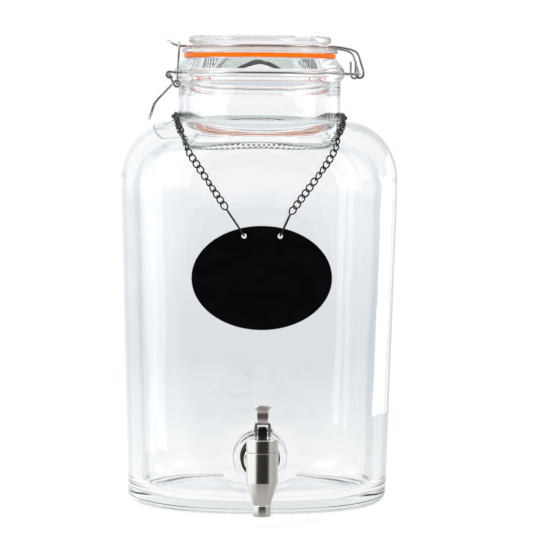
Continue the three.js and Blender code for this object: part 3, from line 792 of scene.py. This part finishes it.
def lever_path():
    steps = 20
    coil = []
    for i, (x, y, z) in enumerate(upright(BAIL_X, BAIL_Z, COIL_RADIUS, 0, 205, 495, steps)):
        coil.append((x, -mix(LEVER_ARM_Y, HANDLE_Y, i / steps), z))
    side = [
        (EYE_X, -EYE_Y - 2.2, EYE_Z),
        (EYE_X, -LEVER_ARM_Y - 1.4, EYE_Z),
        (EYE_X + 0.1, -LEVER_ARM_Y - 0.3, EYE_Z - 0.4),
        (EYE_X + 0.6, -LEVER_ARM_Y, EYE_Z - 1.6),
        *coil,
        (-74, -HANDLE_Y, 348.6),
        (-80.5, -HANDLE_Y, 341.8),
        (-86.2, -HANDLE_Y, 335.8),
        (-88.4, -HANDLE_Y, 332.4),
        (-90.2, -HANDLE_Y, 327),
        (-91.2, -HANDLE_Y + 0.5, 323.8),
        (-91.7, -HANDLE_Y + 2.2, 322),
        (-91.9, -HANDLE_Y + 5, 321.2),
    ]
    return spline([*side, *mirrored(side)], 1.0)


def bail_path():
    side = [
        (BAIL_X, -LEVER_ARM_Y - 1.6, BAIL_Z),
        (BAIL_X, -BAIL_Y - 1.6, BAIL_Z),
        (BAIL_X, -BAIL_Y - 0.4, BAIL_Z + 0.4),
        (BAIL_X, -BAIL_Y, BAIL_Z + 1.8),
        (-68.4, -BAIL_Y, 366),
        (-67.5, -BAIL_Y, 380.3),
        (-67.4, -BAIL_Y + 1, 382.9),
        (-67.4, -BAIL_Y + 3.6, 383.9),
        (-67.4, -BAIL_Y + 8, 383.9),
    ]
    return spline([*side, *mirrored(side)], 1.2)


for name, path, radius, body, node in (
    ("lid_wire_bent", lid_wire_path(), WIRE, "lid", "lid_wire"),
    ("neck_wire_bent", neck_wire_path(), WIRE, "jar", "neck_wire"),
    ("clamp_lever_bent", lever_path(), WIRE, "lever", "clamp_lever"),
    ("clamp_bail_bent", bail_path(), WIRE - 0.05, "bail", "clamp_bail"),
):
    dress(tube(name, path, radius), WIRE_STEEL, "wire", body, node)


# ------------------------------------------------------------------ chain

LINK_PITCH = 5.8
LINK_WIRE = 0.62
LINK_LENGTH = 8.6
LINK_WIDTH = 6.4
CHAIN_LIFT = 2.9
STRAND_TOP_Z = 309
LEFT_ROUTE = [(45.5, STRAND_TOP_Z), (52, 295), (58, 282), (63.5, 268.5), (71, 250.4)]
RIGHT_ROUTE = [(47.5, STRAND_TOP_Z), (52.5, 297), (58, 284.5), (65, 269), (75, 247)]


def link_line(twist):
    """The middle line of one curb link: an oval whose two ends are turned apart."""
    length = LINK_LENGTH / 2 - LINK_WIRE
    width = LINK_WIDTH / 2 - LINK_WIRE
    points = []
    for k in range(22):
        a = 2 * math.pi * k / 22
        turn = twist * math.cos(a)
        w = width * math.sin(a)
        points.append(Vector((length * math.cos(a), w * math.cos(turn), w * math.sin(turn))))
    return points


def chain(name, path, twist_at):
    """Curb links along a path; twist_at(share) turns them about the path, in degrees."""
    lengths = [0]
    for a, b in zip(path, path[1:]):
        lengths.append(lengths[-1] + (b - a).length)
    count = round(lengths[-1] / LINK_PITCH)
    pitch = lengths[-1] / count
    outline = link_line(math.radians(40))
    verts, faces = [], []
    at = 0
    for k in range(count):
        s = pitch * (k + 0.5)
        while at < len(path) - 2 and lengths[at + 1] < s:
            at += 1
        share = (s - lengths[at]) / max(lengths[at + 1] - lengths[at], 1e-6)
        centre = path[at].lerp(path[at + 1], share)
        along = (path[at + 1] - path[at]).normalized()
        out = Vector((centre.x, centre.y * 1.6, 40))
        out = (out - along * out.dot(along)).normalized()
        turn = Matrix.Rotation(math.radians(twist_at(s / lengths[-1])), 3, along)
        out = turn @ out
        side = along.cross(out)
        sway = Matrix((along, side, out)).transposed()
        line = [centre + sway @ p for p in outline]
        more_verts, more_faces = tube_parts(line, LINK_WIRE, 7, True)
        base = len(verts)
        verts += more_verts
        faces += [tuple(base + i for i in f) for f in more_faces]
    return make(name, verts, faces, 60)


def side_path(start_bearing):
    """Half of the fixed chain: from a strand's top round the side of the neck to the back."""
    return [
        on_glass(-start_bearing, STRAND_TOP_Z, CHAIN_LIFT),
        on_glass(8 - start_bearing, 316.2, CHAIN_LIFT),
        on_glass(15 - start_bearing, 319, CHAIN_LIFT),
        Vector((70.6, -14, 323.6)),
        Vector((71.3, 8, 323.8)),
        on_glass(24, 319.6, CHAIN_LIFT),
        on_glass(42, 316.5, CHAIN_LIFT),
        on_glass(56, 312.5, CHAIN_LIFT),
        on_glass(70, 310.5, CHAIN_LIFT),
    ]


def back_path():
    right = side_path(RIGHT_ROUTE[0][0])
    left = [Vector((-p.x, p.y, p.z)) for p in reversed(side_path(LEFT_ROUTE[0][0]))]
    return spline([*right, on_glass(90, 310, CHAIN_LIFT), *left], 1.5)


def strand_path(side, route):
    points = []
    for degrees, z in route:
        bearing = 180 + degrees if side < 0 else -degrees
        points.append(on_glass(bearing, z, CHAIN_LIFT))
    return spline(points, 1.5)


def swing(*stops):
    """A smooth function through evenly spaced values."""

    def value(share):
        at = clamp(share) * (len(stops) - 1)
        i = min(int(at), len(stops) - 2)
        t = at - i
        return mix(stops[i], stops[i + 1], t * t * (3 - 2 * t))

    return value


left_strand = strand_path(-1, LEFT_ROUTE)
right_strand = strand_path(1, RIGHT_ROUTE)
back_twist = swing(0, 25, -10, 15, 30, 0, -20, 10, 25, 0, -15, 20, 0)
for name, path, twist, body, node in (
    ("chain_back_links", back_path(), back_twist, "jar", "chain_back"),
    ("chain_left_links", left_strand, swing(65, 50, 5, 0, 50, 20, 0), "tag_strands", "chain_left"),
    ("chain_right_links", right_strand, swing(-60, -20, 0, -45, 0, -10, 0), "tag_strands",
     "chain_right"),
):
    dress(chain(name, path, twist), BLACK_METAL, "black_chain", body, node)


# ------------------------------------------------------------------ tag

TAG_HOLE_X, TAG_HOLE_Z = 14.5, 228.6
TAG_LINK_WIRE, TAG_LINK_WIDTH, TAG_THICKNESS = 1.5, 6.4, 2.6


def tag_link_path(end, side):
    """A long loop square to the tag, through one of its holes."""
    y = TAG_FRONT_Y + TAG_THICKNESS / 2
    low = Vector((side * TAG_HOLE_X, y, TAG_HOLE_Z + 0.4))
    reach = Vector((end.x, y, end.z)) - low
    length = reach.length - TAG_LINK_WIRE / 2 - 0.6
    along = reach.normalized()
    half = (TAG_LINK_WIDTH - TAG_LINK_WIRE) / 2
    outline = [
        *arc(length - half, 0, half, half, 90, -90, 12),
        (length * 0.66, -half),
        (length * 0.33, -half),
        *arc(half, 0, half, half, -90, -270, 12),
        (length * 0.33, half),
        (length * 0.66, half),
    ]
    return [low + along * s + Vector((0, t, 0)) for s, t in outline]


def make_tag():
    # distances from the oval's edge, so that the rim is equally round all the way
    rim = rounded([(-4, 0), (0, 0, 0.55), (0, TAG_THICKNESS, 0.55), (-4, TAG_THICKNESS)])
    rows = [(-30, 0), *rim, (-30, TAG_THICKNESS)]

    def place(a, r, h):
        inset = r - 1000
        return (
            (56.5 + inset) * math.cos(a),
            TAG_FRONT_Y + h,
            TAG_Z + (42 + inset) * math.sin(a),
        )

    profile = [(1000 + r, h) for r, h in rows]
    tag = lathe("tag_plate", profile, 160, place, sharp=60)
    bm = bmesh.new()
    bm.from_mesh(tag.data)
    bmesh.ops.holes_fill(bm, edges=[e for e in bm.edges if e.is_boundary], sides=0)
    bm.to_mesh(tag.data)
    bm.free()
    settle(tag, 60)
    holes = [
        lathe(
            "tag_hole",
            [(0, TAG_FRONT_Y - 3), (2.1, TAG_FRONT_Y - 3), (2.1, TAG_FRONT_Y + 6),
             (0, TAG_FRONT_Y + 6)],
            32,
            about_y(side * TAG_HOLE_X, TAG_HOLE_Z),
        )
        for side in (-1, 1)
    ]
    return carve(tag, holes, "DIFFERENCE", 40)


dress(make_tag(), CHALKBOARD, "chalkboard", "tag", "chalk_tag")
for name, strand, side in (("left", left_strand, -1), ("right", right_strand, 1)):
    loop = tube(f"tag_loop_{name}", tag_link_path(strand[-1], side), TAG_LINK_WIRE / 2, 10, True)
    dress(loop, BLACK_METAL, "black_chain", "tag", f"tag_link_{name}")


# ------------------------------------------------------------------ tap

WASHER_FRONT = BOSS_FRONT_Y - 3.3
FLANGE_BACK = WASHER_FRONT - 0.3
FLANGE_FRONT = FLANGE_BACK - 2.5

tap_axis = about_z(0, TAP_Y)
shank_axis = about_y(0, SHANK_Z)

body_section = rounded(
    [
        (4.5, NOZZLE_BOTTOM, 0.3),
        (7.15, NOZZLE_BOTTOM, 0.5),
        (7.15, CONE_BOTTOM - 0.1, 0.25),
        (6.9, CONE_BOTTOM + 0.3, 0.2),
        (12.7, CONE_TOP, 1.6),
        (12.7, JOINT_Z, 0.35),
        (9.5, JOINT_Z),
        (9.5, 34),
        (4.5, 34),
    ],
    closed=True,
)
tap_shell = lathe("tap_shell", body_section, 96, tap_axis, closed=True, sharp=30)
carve(
    tap_shell,
    [lathe("socket", [(0, -126), (6.5, -126), (6.5, -110), (0, -110)], 48, shank_axis)],
    "DIFFERENCE",
    30,
)
branch = lathe(
    "tap_branch",
    rounded(
        [
            (6.4, -120.5),
            (8.7, -120.5),
            (8.7, FLANGE_FRONT - 1.6, 1.2),
            (12.9, FLANGE_FRONT, 0.6),
            (13.5, FLANGE_FRONT + 0.4, 0.5),
            (13.5, FLANGE_BACK, 0.4),
            (7.9, FLANGE_BACK),
            (7.9, -103),
            (6.4, -103),
        ],
        closed=True,
    ),
    72,
    shank_axis,
    closed=True,
    sharp=30,
)
bonnet_section = rounded(
    [
        (12.7, JOINT_Z + 0.3, 0.35),
        (12.7, BONNET_TOP, 0.9),
        (3.6, BONNET_TOP, 0.3),
        (3.6, BONNET_TOP - 3),
        (7.6, BONNET_TOP - 3),
        (7.6, JOINT_Z - 4.7),
        (9.2, JOINT_Z - 4.7),
        (9.2, JOINT_Z + 0.3),
    ],
    closed=True,
)
bonnet = lathe("tap_bonnet_cap", bonnet_section, 96, tap_axis, closed=True, sharp=30)
dress(tap_shell, TURNED_STEEL, "steel", "jar", "tap_body")
dress(branch, TURNED_STEEL, "steel", "jar")
dress(bonnet, TURNED_STEEL, "steel", "jar", "tap_bonnet")


def washer(name, radius, front, thickness, edge):
    section = rounded(
        [
            (7.9, front, 0.2),
            (radius, front, edge),
            (radius, front + thickness, edge),
            (7.9, front + thickness, 0.2),
        ],
        closed=True,
    )
    return lathe(name, section, 80, shank_axis, closed=True, sharp=40)


inner_washer_y = BOSS_BACK_Y + 0.3
steel_washer_y = inner_washer_y + 3.3
nut_y = steel_washer_y + 1.8
dress(washer("outer_washer_ring", 16, WASHER_FRONT, 3, 0.9), BLACK_RUBBER, "black_rubber",
      "jar", "outer_washer")
dress(washer("inner_washer_ring", 16, inner_washer_y, 3, 0.9), BLACK_RUBBER, "black_rubber",
      "jar", "inner_washer")
dress(washer("steel_washer_ring", 14.5, steel_washer_y, 1.5, 0.3), HIDDEN_STEEL, "steel",
      "jar", "steel_washer")

thread = []
y = -101.0
while y < -52.8:
    thread += [(7.25, y), (7.6, y + 0.35), (7.6, y + 0.5), (7.25, y + 0.85)]
    y += 1.1
shank_profile = [(4.8, -102), (6.8, -102), *thread, (6.9, -52), (4.8, -52)]
shank = lathe("tap_shank_thread", shank_profile, 56, shank_axis, closed=True, sharp=25)
dress(shank, HIDDEN_STEEL, "steel", "jar", "tap_shank")

hexagon = [(math.sin(math.radians(60 * k)), math.cos(math.radians(60 * k))) for k in range(6)]
nut = prism(
    "shank_nut_hex",
    [(13.5 * a, 13.5 * b) for a, b in hexagon],
    nut_y,
    nut_y + 7,
    lambda a, b, h: (a, h, SHANK_Z + b),
)
bevelled(nut, 0.7, 3)
carve(
    nut,
    [lathe("nut_hole", [(0, nut_y - 2), (7.9, nut_y - 2), (7.9, nut_y + 9), (0, nut_y + 9)], 48,
           shank_axis)],
)
dress(nut, HIDDEN_STEEL, "steel", "jar", "shank_nut")

# ---- stem, lever and pin


def across_tap(a, b, h):
    """A point of a piece extruded along Y: a is across, b is up."""
    return (a, TAP_Y + h, b)


POST_HALF_WIDTH = 3.5
FORK_INNER, FORK_OUTER = 4.1, 6.45
ROD_RADIUS, ROD_FOOT = 3.2, 36.3

post_outline = rounded(
    [
        (-POST_HALF_WIDTH, BONNET_TOP + 0.5),
        (POST_HALF_WIDTH, BONNET_TOP + 0.5),
        (POST_HALF_WIDTH, PIVOT_Z + 2.8, 1.7),
        (-POST_HALF_WIDTH, PIVOT_Z + 2.8, 1.7),
    ],
    closed=True,
)
post = bevelled(prism("stem_post", post_outline, -3, 3, across_tap), 0.35, 2)
rod_top = BONNET_TOP + 0.7
rod_profile = [(0, ROD_FOOT), (ROD_RADIUS, ROD_FOOT), (ROD_RADIUS, rod_top), (0, rod_top)]
rod = lathe("stem_rod", rod_profile, 40, tap_axis)
carve(post, [rod], "UNION", 30)
dress(post, BLACK_PLASTIC, "black_plastic", "valve", "valve_stem")

fork_outline = rounded(
    [
        (-FORK_OUTER, BONNET_TOP + 0.9, 0.8),
        (-FORK_INNER, BONNET_TOP + 0.9, 0.3),
        (-FORK_INNER, FORK_TOP - 1.7, 0.5),
        (FORK_INNER, FORK_TOP - 1.7, 0.5),
        (FORK_INNER, BONNET_TOP + 0.9, 0.3),
        (FORK_OUTER, BONNET_TOP + 0.9, 0.8),
        (FORK_OUTER, FORK_TOP, 1.7),
        (-FORK_OUTER, FORK_TOP, 1.7),
    ],
    closed=True,
)
fork = bevelled(prism("lever_fork", fork_outline, -3, 3, across_tap), 0.35, 3)


def make_paddle():
    """A flat tongue that rises from the fork, waisted at first, and bends forward."""
    bends = [(0, FORK_TOP - 1.1), (1.4, FORK_TOP + 3.2), (0.9, PADDLE_TOP - 7),
             (-2.6, PADDLE_TOP - 3), (-7.4, PADDLE_TOP - 1)]
    spine = spline([(0, y, z) for y, z in bends], 0.5)
    lengths = [0]
    for a, b in zip(spine, spine[1:]):
        lengths.append(lengths[-1] + (b - a).length)
    total = lengths[-1]
    sides = 28
    verts, rows = [], []
    for i, centre in enumerate(spine):
        t = lengths[i] / total
        before = spine[max(i - 1, 0)]
        after = spine[min(i + 1, len(spine) - 1)]
        along = (after - before).normalized()
        normal = Vector((1, 0, 0)).cross(along)
        flare = clamp((t - 0.5) / 0.42)
        half = 4.7 + 2.35 * flare * flare * (3 - 2 * flare)
        end = clamp((t - 0.84) / 0.16)
        half *= math.sqrt(1 - 0.8 * end**2)
        thick = 0.95 * (1 - 0.35 * end**4)
        rows.append(len(verts))
        for k in range(sides):
            a = 2 * math.pi * k / sides
            ca, sa = math.cos(a), math.sin(a)
            u = math.copysign(abs(ca) ** 0.22, ca) * half
            w = math.copysign(abs(sa) ** 0.55, sa) * thick
            point = centre + Vector((u, 0, 0)) + normal * w
            verts.append((point.x, TAP_Y + point.y, point.z))
    faces = []
    for low, high in zip(rows, rows[1:]):
        for k in range(sides):
            m = (k + 1) % sides
            faces.append((low + k, low + m, high + m, high + k))
    faces.append(tuple(range(sides)))
    faces.append(tuple(range(rows[-1], rows[-1] + sides)))
    return make("lever_paddle", verts, faces, 40)


carve(fork, [make_paddle()], "UNION", 34)
dress(fork, SATIN_STEEL, "steel", "tap_handle", "tap_lever")

pin_side = [(2.9, 6.8), (2.9, 7.2), (2.6, 7.8), (1.9, 8.2), (1.0, 8.4), (0, 8.45)]
pin_profile = [*[(r, -x) for r, x in reversed(pin_side)], (1.5, -6.75), (1.5, 6.75), *pin_side]
pin = lathe("lever_pin_rivet", pin_profile, 40, about_x(TAP_Y, PIVOT_Z))
dress(pin, HIDDEN_STEEL, "steel", "valve", "lever_pin")

for node, material, slot in (
    ("valve_plug", BLACK_RUBBER, "black_rubber"),
    ("valve_spring", HIDDEN_STEEL, "steel"),
):
    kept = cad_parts[node]
    kept.data.materials.clear()
    kept.data.materials.append(material)

# ------------------------------------------------------------------ studio

FLOOR_GLOW = 0.62

# What clear glass shows of the studio behind it, by the distance on the floor in metres
# from the jar's middle, and above the horizon.
THROUGH_GLASS = [
    (0.00, (0.98, 0.98, 0.97)),
    (0.20, (0.95, 0.955, 0.96)),
    (0.45, (0.85, 0.88, 0.905)),
    (0.90, (0.74, 0.78, 0.815)),
    (1.60, (0.76, 0.80, 0.84)),
    (3.00, (0.85, 0.88, 0.915)),
    (5.00, (0.94, 0.95, 0.975)),
]
THROUGH_GLASS_FAR = (0.95, 0.96, 0.985)


def ray_kinds(nodes, links):
    """Whether a ray is a mirror reflection outside the glass, and whether it came through it."""
    path = nodes.new("ShaderNodeLightPath")
    inside = nodes.new("ShaderNodeMath")
    inside.operation = "GREATER_THAN"
    inside.inputs[1].default_value = 0.5
    links.new(path.outputs["Transmission Depth"], inside.inputs[0])
    mirror = nodes.new("ShaderNodeMath")
    mirror.operation = "SUBTRACT"
    mirror.use_clamp = True
    links.new(path.outputs["Is Glossy Ray"], mirror.inputs[0])
    links.new(inside.outputs[0], mirror.inputs[1])
    return mirror.outputs[0], inside.outputs[0]


def ramp_node(nodes, stops, interpolation="LINEAR"):
    ramp = nodes.new("ShaderNodeValToRGB")
    ramp.color_ramp.interpolation = interpolation
    elements = ramp.color_ramp.elements
    while len(elements) < len(stops):
        elements.new(0.5)
    for element, (position, value) in zip(elements, stops):
        element.position = position
        colour = value if isinstance(value, tuple) else (value,) * 3
        element.color = (*colour, 1)
    return ramp


def side_colours(nodes, links, x_like, front_like):
    """Dark towards the camera side, bright to the left, warm grey to the right."""
    across = nodes.new("ShaderNodeMapRange")
    across.inputs["From Min"].default_value = -1
    across.inputs["From Max"].default_value = 1
    links.new(x_like, across.inputs["Value"])
    sides = ramp_node(nodes, [(0.0, (1.25, 1.25, 1.24)), (0.42, (1.25, 1.25, 1.24)),
                              (0.62, (0.74, 0.71, 0.68)), (0.85, (0.80, 0.77, 0.74)),
                              (1.0, (0.52, 0.50, 0.48))])
    links.new(across.outputs["Result"], sides.inputs["Fac"])
    front = ramp_node(nodes, [(0.0, 1.0), (0.59, 1.0), (0.66, 0.55), (0.77, 0.020), (1.0, 0.014)])
    links.new(front_like, front.inputs["Fac"])
    both = nodes.new("ShaderNodeMix")
    both.data_type = "RGBA"
    both.blend_type = "MULTIPLY"
    both.inputs["Factor"].default_value = 1
    links.new(sides.outputs["Color"], both.inputs["A"])
    links.new(front.outputs["Color"], both.inputs["B"])
    return both.outputs["Result"]


def make_world():
    world = bpy.data.worlds.new("studio")
    scene.world = world
    world.use_nodes = True
    nodes, links = world.node_tree.nodes, world.node_tree.links
    place = nodes.new("ShaderNodeTexCoord")
    split = nodes.new("ShaderNodeSeparateXYZ")
    links.new(place.outputs["Generated"], split.inputs["Vector"])
    front = nodes.new("ShaderNodeMath")
    front.operation = "MULTIPLY"
    front.inputs[1].default_value = -1
    links.new(split.outputs["Y"], front.inputs[0])
    shiny = side_colours(nodes, links, split.outputs["X"], front.outputs[0])
    ceiling = nodes.new("ShaderNodeMapRange")
    ceiling.inputs["From Min"].default_value = 0.45
    ceiling.inputs["From Max"].default_value = 0.75
    links.new(split.outputs["Z"], ceiling.inputs["Value"])
    lit = nodes.new("ShaderNodeMix")
    lit.data_type = "RGBA"
    lit.inputs["B"].default_value = (1, 1, 1, 1)
    links.new(ceiling.outputs["Result"], lit.inputs["Factor"])
    links.new(shiny, lit.inputs["A"])
    mirror, through = ray_kinds(nodes, links)
    behind = nodes.new("ShaderNodeMix")
    behind.data_type = "RGBA"
    behind.inputs["A"].default_value = (1.02, 1.02, 1.02, 1)
    behind.inputs["B"].default_value = (*THROUGH_GLASS_FAR, 1)
    links.new(through, behind.inputs["Factor"])
    choose = nodes.new("ShaderNodeMix")
    choose.data_type = "RGBA"
    links.new(mirror, choose.inputs["Factor"])
    links.new(behind.outputs["Result"], choose.inputs["A"])
    links.new(lit.outputs["Result"], choose.inputs["B"])
    links.new(choose.outputs["Result"], nodes["Background"].inputs["Color"])
    nodes["Background"].inputs["Strength"].default_value = 1


def make_floor():
    size = 14
    mesh = bpy.data.meshes.new("floor")
    mesh.from_pydata([(-size, -size, 0), (size, -size, 0), (size, size, 0), (-size, size, 0)],
                     [], [(0, 1, 2, 3)])
    floor = bpy.data.objects.new("floor", mesh)
    scene.collection.objects.link(floor)
    material = bpy.data.materials.new("pale_floor")
    material.use_nodes = True
    nodes, links = material.node_tree.nodes, material.node_tree.links
    shader = nodes["Principled BSDF"]
    shader.inputs["Base Color"].default_value = (0.40, 0.40, 0.40, 1)
    shader.inputs["Roughness"].default_value = 0.9
    shader.inputs["Specular IOR Level"].default_value = 0
    place = nodes.new("ShaderNodeTexCoord")
    shift = nodes.new("ShaderNodeVectorMath")
    shift.operation = "ADD"
    shift.inputs[1].default_value = (0, -TAP_Y * MM, 0)
    links.new(place.outputs["Object"], shift.inputs[0])
    far = nodes.new("ShaderNodeVectorMath")
    far.operation = "LENGTH"
    links.new(shift.outputs["Vector"], far.inputs[0])
    unit = nodes.new("ShaderNodeVectorMath")
    unit.operation = "NORMALIZE"
    links.new(shift.outputs["Vector"], unit.inputs[0])
    split = nodes.new("ShaderNodeSeparateXYZ")
    links.new(unit.outputs["Vector"], split.inputs["Vector"])
    front = nodes.new("ShaderNodeMath")
    front.operation = "MULTIPLY"
    front.inputs[1].default_value = -1
    links.new(split.outputs["Y"], front.inputs[0])
    shiny = side_colours(nodes, links, split.outputs["X"], front.outputs[0])
    # Painted reflection: mirror rays see the floor glow in the side colours, and in flat grey
    # within 45 mm of the tap, fading out by 75 mm.
    near = nodes.new("ShaderNodeMapRange")
    near.inputs["From Min"].default_value = 0.045
    near.inputs["From Max"].default_value = 0.075
    near.inputs["To Min"].default_value = 1
    near.inputs["To Max"].default_value = 0
    links.new(far.outputs["Value"], near.inputs["Value"])
    closer = nodes.new("ShaderNodeMix")
    closer.data_type = "RGBA"
    closer.inputs["B"].default_value = (0.56, 0.545, 0.53, 1)
    links.new(near.outputs["Result"], closer.inputs["Factor"])
    links.new(shiny, closer.inputs["A"])
    shader.inputs["Emission Color"].default_value = (1, 1, 1, 1)
    shader.inputs["Emission Strength"].default_value = FLOOR_GLOW
    reach = nodes.new("ShaderNodeVectorMath")
    reach.operation = "LENGTH"
    links.new(place.outputs["Object"], reach.inputs[0])
    share = nodes.new("ShaderNodeMapRange")
    share.inputs["From Max"].default_value = THROUGH_GLASS[-1][0]
    links.new(reach.outputs["Value"], share.inputs["Value"])
    stops = [(r / THROUGH_GLASS[-1][0], colour) for r, colour in THROUGH_GLASS]
    seen = ramp_node(nodes, stops)
    links.new(share.outputs["Result"], seen.inputs["Fac"])
    mirror, through = ray_kinds(nodes, links)
    result = shader.outputs["BSDF"]
    for colour, kind in ((seen.outputs["Color"], through), (closer.outputs["Result"], mirror)):
        glow = nodes.new("ShaderNodeEmission")
        links.new(colour, glow.inputs["Color"])
        choose = nodes.new("ShaderNodeMixShader")
        links.new(kind, choose.inputs["Fac"])
        links.new(result, choose.inputs[1])
        links.new(glow.outputs["Emission"], choose.inputs[2])
        result = choose.outputs["Shader"]
    links.new(result, nodes["Material Output"].inputs["Surface"])
    floor.data.materials.append(material)


def area_light(name, place, target, size, power, colour=(1, 1, 1)):
    data = bpy.data.lights.new(name, "AREA")
    data.shape = "RECTANGLE"
    data.size, data.size_y = size
    data.energy = power
    data.color = colour
    light = bpy.data.objects.new(name, data)
    light.location = place
    light.rotation_euler = (Vector(target) - Vector(place)).to_track_quat("-Z", "Y").to_euler()
    scene.collection.objects.link(light)
    return light


make_world()
make_floor()
area_light("key_left", (-1.5, -0.9, 1.1), (0, 0, 0.2), (0.9, 1.6), 9)
area_light("fill_right", (1.6, -0.5, 0.9), (0, 0, 0.2), (0.7, 1.4), 5, (1, 0.96, 0.92))

# two tall soft boxes close beside the jar, which only the glass mirrors
glass_only = bpy.data.collections.new("glass_only")
for name in ("glass_jar_body", "glass_lid_body"):
    glass = bpy.data.objects[name]
    glass.visible_shadow = False
    glass_only.objects.link(glass)
for light in (
    area_light("streak_left", (-0.31, -0.072, 0.2), (-0.09, -0.05, 0.2), (0.085, 0.4), 0.22),
    area_light("streak_right", (0.42, 0.28, 0.2), (0, 0, 0.2), (0.24, 0.4), 0.30),
):
    light.visible_camera = False
    light.light_linking.receiver_collection = glass_only

# ------------------------------------------------------------------ camera


def make_camera():
    """The photographed view: a long lens, a little left of the front and above the middle."""
    place = Vector((-0.0611, -1.7489, 0.345))
    forward = (Vector((0.0139, -0.0005, 0.190)) - place).normalized()
    right = forward.cross(Vector((0, 0, 1))).normalized()
    up = right.cross(forward)
    roll = math.radians(0.5)
    x_axis = right * math.cos(roll) + up * math.sin(roll)
    y_axis = up * math.cos(roll) - right * math.sin(roll)
    data = bpy.data.cameras.new("camera")
    data.lens = 136.3
    data.sensor_width = 36
    data.clip_start, data.clip_end = 0.05, 60
    camera = bpy.data.objects.new("camera", data)
    turn = Matrix((x_axis, y_axis, -forward)).transposed().to_4x4()
    camera.matrix_world = Matrix.Translation(place) @ turn
    scene.collection.objects.link(camera)
    scene.camera = camera


make_camera()
scene.view_settings.view_transform = "Standard"

# light turns many corners inside thick glass before it comes out
scene.cycles.max_bounces = 28
scene.cycles.transmission_bounces = 28
scene.cycles.glossy_bounces = 16
